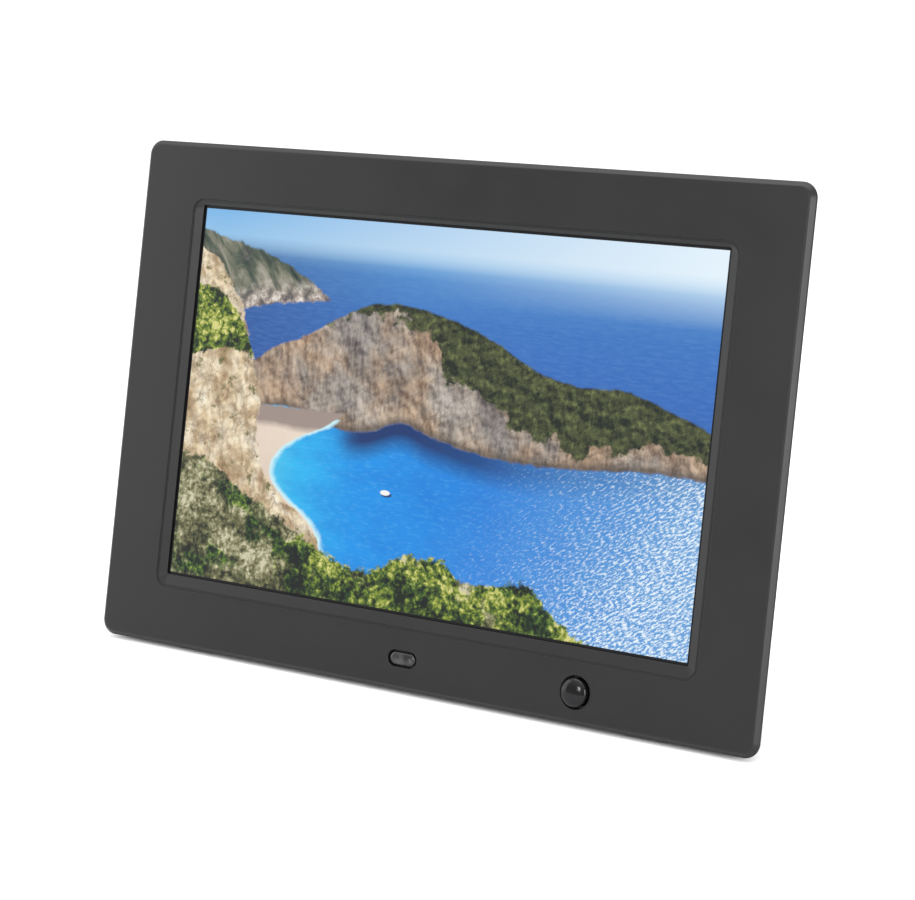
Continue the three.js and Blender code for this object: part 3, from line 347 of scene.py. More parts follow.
def landscape(name):
    """The lit display: a made-up bay under cliffs, inside the black edge of the panel."""
    paint = Paint(name, Base_Color=(.004, .004, .005, 1.0), Emission_Strength=1.0)
    mix, ramp, curve, span, noise = paint.mix, paint.ramp, paint.curve, paint.span, paint.noise
    cells, times, plus, minus = paint.cells, paint.times, paint.plus, paint.minus
    x, z = paint.panel_axes()
    u = plus(paint.math("DIVIDE", x, PICTURE_W * MM), .5)
    v = paint.math("DIVIDE", minus(z, BORDER_BOTTOM * MM), PICTURE_H * MM)
    flat = paint.node("CombineXYZ", times(u, PICTURE_W / PICTURE_H), v, 0.0).outputs[0]

    def stretched(x, y):
        return paint.vector("MULTIPLY", flat, (x, y, 1.0))

    def rough(scale, size, detail=5):
        return times(minus(noise(scale, detail, .62, at=stretched(1.0, 1.0)), .5), size)

    def under(line, wobble=0.0, sharp=150.0):
        return times(minus(plus(line, wobble), v), sharp, clamp=True)

    def above(line, wobble, sharp=150.0):
        return minus(1.0, under(line, wobble, sharp))

    def left_of(line, wobble, sharp=190.0):
        return times(minus(plus(line, wobble), u), sharp, clamp=True)

    def both(*masks):
        result = masks[0]
        for mask in masks[1:]:
            result = times(result, mask)
        return result

    def relief(scale, x, gain):
        """Light from the upper left over rough ground: 0.5 where it is flat."""
        near = noise(scale, 7, .62, at=stretched(x, 1.0))
        moved = paint.vector("MULTIPLY", paint.vector("ADD", flat, (.006, .01, 0.0)), (x, 1.0, 1.0))
        far = noise(scale, 7, .62, at=moved)
        return plus(times(minus(near, far), gain), .5, clamp=True)

    def turned(angle, x, y):
        node = paint.node("VectorRotate", rotation_type="Z_AXIS")
        paint.feed(node.inputs["Vector"], flat)
        node.inputs["Angle"].default_value = angle
        return paint.vector("MULTIPLY", node.outputs[0], (x, y, 1.0))

    def warp(scale, size):
        return paint.node("CombineXYZ", rough(scale, size), rough(scale * .85, size), 0.0).outputs[0]

    # sky and open sea
    sky = mix(span(v, .9, 1.0), "98c4e6", "7ab4e4")
    sky = mix(span(u, .05, 1.0, 0.0, .92), sky, "e8f4fb")
    ripples = noise(26, 6, .65, at=stretched(1.0, 5.0))
    depth = ramp(v, (.42, "2a5caa"), (.62, "3068b8"), (.76, "3672be"), (.86, "4a86c8"), (.92, "84b8e2"))
    shade = mix(span(u, .02, .44, .66, 0.0), depth, "14387a")
    sea = mix(span(ripples, .42, .72, 0.0, .2), shade, "70a6da")
    sea = mix(both(span(u, .45, 1.0), span(v, .8, .93)), sea, "c4def2")
    picture = mix(span(v, .885, .935), sea, sky)

    # rock and green for the headland; the near cliff has the same cracks
    streaks = noise(7, 7, .6, at=stretched(1.5, .8), distortion=.9)
    blotches = noise(4.5, 4, .6, at=flat)
    rock = ramp(streaks, (.3, "60544e"), (.43, "928274"), (.55, "b4a290"), (.72, "ded0be"))
    warm = mix(span(blotches, .45, .6, 0.0, .58), rock, "ce9a62")
    cool = mix(span(blotches, .5, .36, 0.0, .52), warm, "84848c")
    lit_rock = mix(relief(11, 1.5, 5.0), mix(.64, cool, "383234"), mix(.24, cool, "f6ecdc"))
    cracks = span(
        cells(7, at=paint.vector("ADD", stretched(1.6, 1.0), warp(9, .25)), feature="DISTANCE_TO_EDGE"),
        0.0, .05, .36, 0.0,
    )
    lit_rock = mix(cracks, lit_rock, "3e3636")
    leaves = noise(48, 7, .74, at=flat)
    green = ramp(leaves, (.36, "141e14"), (.5, "344422"), (.64, "707a46"))
    lit_green = mix(relief(16, 1.0, 6.5), mix(.75, green, "0c1412"), mix(.12, green, "a8a06e"))

    # the far shore on the left
    far_top = curve(u, (0, .95), (.06, .925), (.13, .9), (.19, .865), (.245, .82), (.275, .79), (1, .5))
    far_foot = curve(u, (0, .775), (.07, .735), (.11, .745), (.16, .762), (.22, .775), (.275, .785), (1, 1))
    far_mask = both(under(far_top, rough(22, .03)), above(far_foot, rough(40, .02)))
    gullies = noise(9, 7, .62, at=turned(.85, .7, 2.6), distortion=.5)
    slopes = ramp(gullies, (.34, "243432"), (.46, "4c5848"), (.55, "7e7e6c"), (.66, "a8a496"))
    bare = ramp(noise(34, 6, .7, at=flat), (.4, "5c5658"), (.52, "b0a298"), (.62, "eee6dc"))
    base = minus(v, far_foot)
    hazy = mix(plus(span(base, .07, 0.0), rough(16, 1.1), clamp=True), slopes, bare)
    picture = mix(far_mask, picture, hazy)

    # the headland across the picture, rock below and green along its back
    top = curve(
        u, (0, .56), (.12, .6), (.17, .645), (.24, .69), (.3, .745), (.36, .785), (.44, .79), (.52, .765),
        (.6, .725), (.68, .665), (.76, .635), (.85, .635), (.93, .6), (1, .56),
    )
    foot = curve(
        u, (0, .52), (.14, .485), (.22, .492), (.28, .462), (.37, .452), (.405, .47), (.44, .486),
        (.5, .462), (.6, .432), (.7, .425), (.8, .432), (.9, .445), (1, .44),
    )
    fringe = curve(
        u, (0, .62), (.27, .745), (.34, .765), (.44, .75), (.49, .715), (.52, .63), (.58, .585),
        (.66, .52), (.76, .475), (.84, .492), (.92, .5), (1, .475),
    )
    head = both(under(top, rough(14, .025)), above(foot, rough(26, .022)))
    growth = above(fringe, rough(10, .24, 8), 70.0)
    slope = mix(growth, lit_rock, lit_green)
    tidal = times(minus(plus(foot, .02), v), 60.0, clamp=True)
    slope = mix(times(tidal, .7), slope, "463e36")

    # the bay in front of it
    bay = ramp(
        u, (.17, "54d6f0"), (.24, "28b8f0"), (.36, "1094e8"), (.62, "187eda"), (.86, "3a84ce"),
        (1.0, "5692ce"),
    )
    bay = mix(span(noise(7, 5, .6, at=stretched(1.0, 2.4)), .4, .7, 0.0, .4), bay, "0c70ce")
    bay = mix(span(noise(40, 4, .6, at=stretched(1.0, 3.0)), .5, .75, 0.0, .22), bay, "78cef6")
    near = minus(foot, v)
    shadow = both(
        span(near, .085, .028), curve(u, (0, 0), (.3, .05), (.37, 1), (.55, .9), (.72, .45), (1, .25)),
    )
    bay = mix(shadow, bay, "10346c")
    sparkle_field = span(plus(times(u, 1.25), times(v, -.55)), .52, 1.05)
    sparkle = noise(72, 4, .7, at=turned(-.55, 1.0, 2.6))
    glints = span(plus(sparkle, times(sparkle_field, .13)), .6, .7)
    bay = mix(times(sparkle_field, .35), bay, "78b2e2")
    bay = mix(times(glints, sparkle_field), bay, "e8f4fc")
    picture = mix(under(foot, rough(26, .022)), picture, bay)
    picture = mix(head, picture, slope)

    # the beach, with a pale line of surf along it
    shore = curve(
        v, (0, .3), (.14, .3), (.2, .272), (.25, .222), (.3, .19), (.36, .198), (.41, .24), (.455, .3),
        (.5, .33), (1, .3),
    )
    sand_zone = both(under(.492, rough(30, .015)), left_of(shore, rough(18, .012)))
    surf_zone = both(under(.475), left_of(plus(shore, .012), rough(30, .02), 90.0))
    picture = mix(surf_zone, picture, "c6eef6")
    sand = mix(noise(38, 5, .6), "d0baa8", "f3e5d4")
    shaded = span(plus(v, rough(9, .03)), .425, .445)
    sand = mix(times(shaded, .75), sand, "7a6a68")
    picture = mix(sand_zone, picture, sand)

    # the near cliff and what grows on it
    cliff = curve(
        v, (0, .36), (.14, .3), (.2, .265), (.27, .2), (.34, .165), (.42, .155), (.52, .15), (.6, .132),
        (.66, .118), (.74, .1), (.8, .072), (.86, .045), (.9, 0.0), (1, 0),
    )
    cliff_mask = left_of(cliff, rough(15, .035))
    pale = ramp(
        noise(12, 7, .62, at=stretched(1.2, 1.0), distortion=.7), (.3, "aa8c68"), (.43, "dcc49e"),
        (.54, "f4e4c4"), (.7, "fff9e8"),
    )
    pale = mix(relief(13, 1.2, 5.5), mix(.58, pale, "765c42"), pale)
    pale = mix(times(cracks, 1.3), pale, "6e583e")
    tufts = span(noise(24, 5, .7, at=flat), .57, .63, 0.0, .85)
    pale = mix(tufts, pale, "5c6030")
    picture = mix(cliff_mask, picture, pale)
    shrub_top = curve(u, (0, .8), (.04, .785), (.085, .735), (.118, .655), (.13, .62), (1, 0))
    shrub_foot = curve(u, (0, .6), (.05, .625), (.09, .63), (.13, .62), (1, 1))
    shrub = both(under(shrub_top, rough(34, .05)), above(shrub_foot, rough(34, .05)))
    bent = paint.vector("ADD", flat, warp(18, .07))
    clumps = cells(11, at=bent)
    sprays = cells(38, at=bent)
    twigs = cells(92, at=bent)
    leafy = plus(times(clumps, .34), times(twigs, .26))
    leafy = plus(leafy, times(sprays, .26))
    leafy = plus(leafy, rough(70, .85, 6))
    bright = ramp(leafy, (.24, "d6d282"), (.35, "8e9c34"), (.46, "4c6622"), (.6, "121e0e"))
    olive = ramp(leafy, (.24, "cec8aa"), (.36, "969470"), (.49, "62623e"), (.66, "262a1a"))
    deep = ramp(leafy, (.2, "bcc264"), (.34, "5a7828"), (.48, "28421c"), (.62, "08120c"))
    picture = mix(shrub, picture, bright)
    hedge_top = curve(
        u, (0, .335), (.07, .315), (.13, .25), (.19, .215), (.26, .165), (.33, .11), (.4, .095),
        (.47, .145), (.54, .15), (.59, .105), (.66, .115), (.7, .125), (.75, .07), (.8, .02), (.84, 0),
        (1, 0),
    )
    hedge = under(hedge_top, rough(38, .075, 7), 110.0)
    patches = noise(5.5, 4, .6, at=flat)
    dry = plus(times(span(u, .34, .08), .3), patches)
    bushes = mix(span(dry, .56, .62), bright, olive)
    bushes = mix(span(patches, .47, .42), bushes, deep)
    picture = mix(hedge, picture, bushes)

    # a small boat
    def spot(cx, cy, wide, tall):
        dx = paint.math("DIVIDE", minus(u, cx), wide)
        dy = paint.math("DIVIDE", minus(v, cy), tall)
        far = plus(times(dx, dx), times(dy, dy))
        return span(far, 1.1, .7)

    picture = mix(spot(.426, .294, .011, .0065), picture, "1c4678")
    picture = mix(spot(.423, .299, .01, .0072), picture, "f4f4f0")

    inside = both(
        paint.math("GREATER_THAN", u, 0.0), paint.math("LESS_THAN", u, 1.0),
        paint.math("GREATER_THAN", v, 0.0), paint.math("LESS_THAN", v, 1.0),
    )
    paint.put("Emission_Color", mix(inside, (0.0, 0.0, 0.0, 1.0), picture))
    paint.roughen(1500, .3, .38)
    paint.put("Specular_IOR_Level", .18)
    return paint.material


# the finish of each material slot, for the pieces and for the CAD nodes carried over
FINISHES = {
    "bezel_plastic": moulded("bezel_satin_black", 0.0080, 0.38, level=0.29, grain=0.34, depth=0.010),
    "cover_plastic": moulded("cover_textured_black", 0.0165, 0.55, grain=0.55, depth=0.030, rubbed=0.3),
    "leg_plastic": moulded("leg_textured_black", 0.0150, 0.50, grain=0.50, depth=0.026, rubbed=0.45),
    "key_plastic": moulded("key_smooth_black", 0.0110, 0.34, grain=0.25, depth=0.006, rubbed=0.5),
    "speaker_plastic": moulded("speaker_black", 0.0120, 0.60, grain=0.3, depth=0.02),
    "socket_plastic": moulded("socket_black", 0.0090, 0.42, grain=0.2, depth=0.008),
    "chip": moulded("chip_black", 0.0150, 0.55, grain=0.15, depth=0.01),
    "smoked_plastic": seen_through_window("smoked_window"),
    "dome_plastic": glossy("dome_gloss_black", (0.004, 0.004, 0.0045), 0.14, level=0.27),
    "display": landscape("display_picture"),
    "rubber": rubber("rubber_black"),
    "foam": foam("foam_black"),
    "film": film_like("film_white", (0.72, 0.74, 0.74), (0.82, 0.83, 0.83), 0.45),
    "acrylic": film_like("acrylic_clear", (0.62, 0.70, 0.70), (0.74, 0.80, 0.80), 0.15),
    "steel": metal("steel_rolled", (0.25, 0.255, 0.26), 0.42),
    "black_steel": metal("steel_blackened", (0.055, 0.055, 0.058), 0.42),
    "screw_steel": metal("screw_black_zinc", (0.085, 0.085, 0.090), 0.34, brush=(900.0, 900.0, 900.0)),
    "socket_metal": metal("socket_plated", (0.30, 0.30, 0.295), 0.30),
    "board": circuit_board("board_green"),
    "ribbon": ribbon_like("ribbon_cable"),
    "led": film_like("led_white", (0.80, 0.78, 0.60), (0.88, 0.87, 0.74), 0.3),
    "capacitor_can": metal("capacitor_sleeve", (0.30, 0.31, 0.33), 0.3),
}
# finishes of pieces that differ from their slot
CONTACT_GOLD = metal("contact_gold", (0.80, 0.58, 0.24), 0.22)
KEY_PRINT = film_like("key_print_grey", (0.34, 0.34, 0.35), (0.42, 0.42, 0.43), 0.5)

# ------------------------------------------------------------------ mesh helpers

SHARP_ANGLE, WORN_ANGLE, FULLY_WORN_ANGLE = radians(38), radians(8), radians(60)


def rounded_rect(x0, x1, z0, z1, radius, steps=6):
    """An anticlockwise outline as seen from the front. Radii run from the lower right corner."""
    radii = radius if isinstance(radius, (list, tuple)) else [radius] * 4
    points = []
    corners = ((x1, z0, -1, 1), (x1, z1, -1, -1), (x0, z1, 1, -1), (x0, z0, 1, 1))
    for corner, (x, z, in_x, in_z) in enumerate(corners):
        r = radii[corner]
        for i in range(steps + 1):
            angle = (corner - 1 + i / steps) * pi / 2
            points.append((x + in_x * r + r * cos(angle), z + in_z * r + r * sin(angle)))
    return points


def circle(x, z, diameter, sides=32):
    r, angles = diameter / 2, [2 * pi * i / sides for i in range(sides)]
    return [(x + r * cos(a), z + r * sin(a)) for a in angles]


def quarter(steps):
    """Angles from 0 to a right angle."""
    return [i / steps * pi / 2 for i in range(steps + 1)]


def around(x, z, width, height, grow):
    """x0, x1, z0, z1 of a rectangle about a point, grown all round."""
    return x - width / 2 - grow, x + width / 2 + grow, z - height / 2 - grow, z + height / 2 + grow


def at_y(y, outline):
    return [(x, y, z) for x, z in outline]


def at_x(x, outline):
    return [(x, y, z) for y, z in outline]


def loft(rings, loop=False):
    """Vertices and faces of a closed solid through rings with equal numbers of points."""
    count = len(rings[0])
    verts = [point for ring in rings for point in ring]
    faces = []
    levels = len(rings) if loop else len(rings) - 1
    for level in range(levels):
        after = (level + 1) % len(rings)
        for i in range(count):
            j = (i + 1) % count
            faces.append((level * count + i, level * count + j, after * count + j, after * count + i))
    if not loop:
        faces.append(tuple(range(count))[::-1])
        faces.append(tuple((len(rings) - 1) * count + i for i in range(count)))
    return verts, faces


def soften(profile, radii, steps=4, loop=False):
    """Rounds a profile's corners. An entry is a ring's (x0, x1, z0, z1, corner radius, y)."""
    points = [np.array(entry, float) for entry in profile]
    count, result = len(points), []

    def span(a, b):
        return max(hypot(b[1] - a[1], b[5] - a[5]), hypot(b[3] - a[3], b[5] - a[5]), 1e-6)

    for i, (here, radius) in enumerate(zip(points, radii)):
        if radius <= 0 or (not loop and i in (0, count - 1)):
            result.append(here)
            continue
        before, after = points[i - 1], points[(i + 1) % count]
        start = here + (before - here) * min(radius / span(here, before), 0.48)
        end = here + (after - here) * min(radius / span(here, after), 0.48)
        for t in np.linspace(0, 1, steps + 1):
            result.append((1 - t) ** 2 * start + 2 * t * (1 - t) * here + t * t * end)
    return result


def rings_of(profile, steps=6, low=None):
    """Rings for a profile. low is the radius of the two lower corners, where it isn't the same."""
    rings = []
    for x0, x1, z0, z1, r, y in profile:
        lower = r if low is None else low
        rings.append(at_y(y, rounded_rect(x0, x1, z0, z1, [lower, r, r, lower], steps)))
    return rings


def flared(outline, deep, face, out, flare, steps=3):
    """A cutter for a hole whose mouth is rounded. outline(grow) gives its outline, in x and z."""
    way = 1 if out > face else -1
    rings = [at_y(deep, outline(0))]
    for angle in quarter(steps):
        rings.append(at_y(face - way * flare * (1 - sin(angle)), outline(flare * (1 - cos(angle)))))
    rings.append(at_y(out, outline(flare)))
    return loft(rings)


def rect_outline(x0, x1, z0, z1, radius, steps=4):
    return lambda grow: rounded_rect(x0 - grow, x1 + grow, z0 - grow, z1 + grow, radius + grow, steps)


def disc_outline(x, z, diameter, sides):
    return lambda grow: circle(x, z, diameter + 2 * grow, sides)


def prism(outline, y0, y1):
    return loft([at_y(y0, outline), at_y(y1, outline)])


def block(x0, x1, y0, y1, z0, z1):
    return prism([(x0, z0), (x1, z0), (x1, z1), (x0, z1)], y0, y1)


def turned_y(profile, x, z, sides):
    """Turns (radius, y) points about an axis along y. Ends on the axis are closed by small caps."""
    return loft([at_y(y, circle(x, z, 2 * max(r, 0.01), sides)) for r, y in profile])


def turned_x(profile, y, z, sides=32, loop=False):
    return loft([at_x(x, circle(y, z, 2 * max(r, 0.01), sides)) for r, x in profile], loop)


def moved(solid, matrix):
    verts, faces = solid
    return [tuple(matrix @ Vector(v)) for v in verts], faces


def mesh_of(solids):
    """One mesh, in metres, from solids in millimetres. Normals face out."""
    mesh = bmesh.new()
    for verts, faces in solids:
        made = [mesh.verts.new([c * MM for c in v]) for v in verts]
        for face in faces:
            mesh.faces.new([made[i] for i in face])
    bmesh.ops.recalc_face_normals(mesh, faces=mesh.faces)
    data = bpy.data.meshes.new("solid")
    mesh.to_mesh(data)
    mesh.free()
    return data


def combined(obj, solids, operation):
    """obj with the solids, or with another object, joined to it or cut from it."""
    tool = start("tool", solids, obj.matrix_world) if isinstance(solids, list) else solids
    step = obj.modifiers.new("step", "BOOLEAN")
    step.operation, step.solver, step.object = operation, "EXACT", tool
    step.use_self = operation == "UNION"
    bpy.context.view_layer.update()
    view = bpy.context.evaluated_depsgraph_get()
    result = bpy.data.meshes.new_from_object(obj.evaluated_get(view))
    obj.modifiers.clear()
    obj.data = result
    bpy.data.objects.remove(tool)
    return obj


def placed(name, data):
    obj = bpy.data.objects.new(name, data)
    bpy.context.scene.collection.objects.link(obj)
    return obj


def start(name, solids, matrix=PANEL):
    """A new object, still in the solids' own axes. matrix takes them to the model's frame."""
    obj = placed(name, mesh_of(solids))
    obj.matrix_world = matrix
    return obj


def mark_edges(data):
    """Writes the edge attribute, 1 where the surface turns outwards, and sharp edges at corners."""
    mesh = bmesh.new()
    mesh.from_mesh(data)
    bmesh.ops.remove_doubles(mesh, verts=mesh.verts, dist=0.002 * MM)
    bmesh.ops.recalc_face_normals(mesh, faces=mesh.faces)
    layer = mesh.verts.layers.float.new("edge")
    for edge in mesh.edges:
        if len(edge.link_faces) != 2:
            continue
        angle = edge.calc_face_angle_signed(0.0)
        edge.smooth = abs(angle) < SHARP_ANGLE
        if angle > WORN_ANGLE:
            for vert in edge.verts:
                vert[layer] = min(1.0, vert[layer] + angle / FULLY_WORN_ANGLE)
    mesh.to_mesh(data)
    mesh.free()


def finish(obj, slot, *nodes, body="housing", look=None):
    """Smooths and paints a piece, puts it under the body it rides on and hides the CAD nodes it stands for."""
    mark_edges(obj.data)
    obj.data.transform(obj.matrix_world)
    obj.matrix_world = Matrix()
    for face in obj.data.polygons:
        face.use_smooth = True
    level = obj.modifiers.new("even_normals", "WEIGHTED_NORMAL")
    level.keep_sharp = True
    level.weight = 80
    obj.data.name = obj.name
    obj.data.materials.clear()
    obj.data.materials.append(look or FINISHES[slot])
    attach(obj, body)
    if nodes:
        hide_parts(*nodes)


# ------------------------------------------------------------------ front


def outline_ring(inset, radius, y):
    return (-HALF_W + inset, HALF_W - inset, inset, OUTLINE_H - inset, radius, y)


def picture_ring(side, top, bottom, radius, y):
    half = PICTURE_W / 2 + side
    return (-half, half, BORDER_BOTTOM - bottom, BORDER_BOTTOM + PICTURE_H + top, radius, y)


def module_ring(inset, radius, y):
    half_w, half_h = MODULE_W / 2 - inset, MODULE_H / 2 - inset
    return (-half_w, half_w, MODULE_Z - half_h, MODULE_Z + half_h, radius, y)


def stadium(x, z, width, height):
    return lambda grow: rounded_rect(*around(x, z, width, height, grow), height / 2 + grow - 0.01, 10)


def bezel():
    ledge = GLASS_Y - GAP
    lip = LIP_SIDE, LIP_TOP, LIP_BOTTOM, LIP_R
    inner_lip = [size - GROOVE_W for size in lip]
    profile = [
        outline_ring(0, OUTLINE_R, PLATE),
        outline_ring(0, OUTLINE_R, CHAMFER),
        outline_ring(CHAMFER, OUTLINE_R - CHAMFER, 0),
        picture_ring(*lip, 0),
        picture_ring(*lip, GROOVE_DEPTH),
        picture_ring(*inner_lip, GROOVE_DEPTH),
        picture_ring(*inner_lip, LIP_STEP),
        picture_ring(1, 1, 1, 0.8, LIP_DEPTH),
        picture_ring(1, 1, 1, 0.8, ledge),
        module_ring(-0.9, 0.6, ledge),
        module_ring(-0.9, 0.6, PLATE),
    ]
    radii = [0.12, 0.35, 0.45, 0.32, 0.22, 0.22, 0.20, 0.14, 0.06, 0, 0]
    obj = start("bezel_shell", [loft(rings_of(soften(profile, radii, loop=True), 12), loop=True)])
    ribs = [
        block(-HALF_W + 8.0, -HALF_W + 9.4, PLATE - 0.4, 6.0, 32, 158),
        block(HALF_W - 9.4, HALF_W - 8.0, PLATE - 0.4, 6.0, 32, 158),
        block(-95, 95, PLATE - 0.4, 6.0, OUTLINE_H - 9.4, OUTLINE_H - 8.0),
    ]
    holes = []
    for x in (-CASE_SCREW_X, CASE_SCREW_X):
        for z in CASE_SCREW_Z:
            ribs.append(prism(circle(x, z, 6.4), PLATE - 0.4, 7.7))
            holes.append(prism(circle(x, z, SCREW_HOLE_D), PLATE + 0.5, 9))
        ribs.append(prism(circle(x, BRACKET_SCREW_Z, 5.6), PLATE - 0.4, MODULE_BACK))
        holes.append(prism(circle(x, BRACKET_SCREW_Z, SCREW_HOLE_D), PLATE + 0.5, 9))
    combined(obj, ribs, "UNION")
    holes.append(flared(stadium(IR_X, IR_Z, IR_W, IR_H), PLATE + 1, 0, -1, 0.30))
    holes.append(flared(disc_outline(PIR_X, PIR_Z, PIR_HOLE_D, 56), PLATE + 1, 0, -1, 0.40))
    combined(obj, holes, "DIFFERENCE")
    finish(obj, "bezel_plastic", "front_bezel")


def ir_window():
    edge = 0.75
    body = stadium(IR_X, IR_Z, IR_W - 2 * edge, IR_H - 2 * edge)
    flange = stadium(IR_X, IR_Z, IR_W + 2, IR_H + 2)
    rings = [
        at_y(PLATE + 1.1, flange(0)), at_y(PLATE + GAP, flange(0)), at_y(PLATE + GAP, body(0)),
        at_y(0.75, body(0)),
    ]
    for grow, y in ((-0.06, 0.58), (-0.2, 0.44), (-0.42, 0.33), (-0.8, 0.24), (-1.3, 0.18), (-1.8, 0.15)):
        rings.append(at_y(y, body(grow)))
    obj = start("ir_window_lens", [loft(rings)])
    finish(obj, "smoked_plastic", "ir_window")


def pir_dome():
    r, skin, back = PIR_DOME_D / 2, 0.9, 3.4

    def cap(radius, top):
        rise = -PIR_WALL_PROUD - top
        return [(radius * sin(a), -PIR_WALL_PROUD - rise * cos(a)) for a in quarter(16)]

    outer = cap(r, -PIR_PROUD) + [(r, PLATE + GAP), (r + 1.5, PLATE + GAP), (r + 1.5, back)]
    inner = [(r - skin, back)] + cap(r - skin, -PIR_PROUD + skin)[::-1]
    obj = start("pir_dome", [turned_y(outer + inner, PIR_X, PIR_Z, 64)])
    finish(obj, "dome_plastic", "pir_lens")


def display():
    profile = [module_ring(3.0, 0.6, GLASS_Y), module_ring(3.0, 0.6, GLASS_Y + GLASS_T)]
    middle_front = module_ring(6.0, 0.6, GLASS_Y)
    middle_back = module_ring(6.0, 0.6, GLASS_Y + GLASS_T)
    rings = soften([middle_front, *profile, middle_back], [0, 0.15, 0.15, 0], 2)
    obj = start("display_panel", [loft(rings_of(rings, 3))])
    finish(obj, "display", "lcd_panel")


# ------------------------------------------------------------------ back


def bottom_at(y):
    """The level of the bottom wall, which stays level as the panel leans."""
    return COVER_INSET + (y - COVER_Y) * tan(LEAN)


def taper_ring(y, extra, radius, inside=0.0):
    inset = COVER_INSET + (y - COVER_Y) + extra + inside
    low = bottom_at(y) + (WALL if extra > 0 else 0) + inside
    return (-HALF_W + inset, HALF_W - inset, low, OUTLINE_H - inset, radius, y)


def housing_ring(y, extra, radius, inside=0.0):
    half = HOUSING_HALF_W - extra - DRAFT * (y - SHELF_Y) / (HOUSING_Y - SHELF_Y)
    top = HOUSING_TOP - (HOUSING_HALF_W - half)
    low = bottom_at(y) + (WALL if extra > 0 else 0)
    return (-half + inside, half - inside, low + inside, top - inside, radius, y)


def across(y0, y1, z0, z1, radius, x0, x1):
    """A bar along x with rounded corners."""
    return loft([at_x(x, rounded_rect(y0, y1, z0, z1, radius, 3)) for x in (x0, x1)])


def keyhole(x, z, diameter=8.6, slot=4.6, rise=10.0):
    """A hanging slot's outline: round at the bottom, narrow above."""
    def outline(grow):
        r, half = diameter / 2 + grow, slot / 2 + grow
        start_angle = acos(half / r)
        points = []
        for i in range(25):
            angle = pi - start_angle + (pi + 2 * start_angle) * i / 24
            points.append((x + r * cos(angle), z + r * sin(angle)))
        for i in range(9):
            angle = pi * i / 8
            points.append((x + half * cos(angle), z + rise - slot / 2 + half * sin(angle)))
        return points
    return outline


def upright(x, length, y0, depth, levels, radius, matrix):
    """A level pad with rounded corners. levels are (inset, z) from the sole up."""
    rings = []
    for inset, z in levels:
        sides = x - length / 2 + inset, x + length / 2 - inset, y0 + inset, y0 + depth - inset
        rings.append([(px, py, z) for px, py in rounded_rect(*sides, max(radius - inset, 0.1), 6)])
    return moved(loft(rings), matrix)


def foot_seat():
    return bottom_at(COVER_Y) * cos(LEAN) - COVER_Y * sin(LEAN) + FOOT_SEAT


def case_screw_hole(x, z):
    steps = ((7.0, SCREW_HOLE_D), (SHELF_Y - 1.7, SCREW_HOLE_D), (SHELF_Y - 1.7, 6.0), (SHELF_Y - 0.3, 6.0),
             (SHELF_Y - 0.08, 6.2), (SHELF_Y, 6.6), (SHELF_Y + 1, 6.6))
    return loft([at_y(y, circle(x, z, d)) for y, d in steps])


def through_back(outline, flare, steps=3):
    """A cutter through the housing's back, rounded at its mouth."""
    return flared(outline, HOUSING_Y - WALL - 1, HOUSING_Y, HOUSING_Y + 1, flare, steps)


def speaker_holes(cx, cz):
    holes = []
    for row in range(-2, 3):
        count = 7 if row % 2 == 0 else 6
        for i in range(count):
            x = cx + (i - (count - 1) / 2) * 4
            holes.append(through_back(disc_outline(x, cz + row * 3, 1.9, 16), 0.22, 2))
    return holes


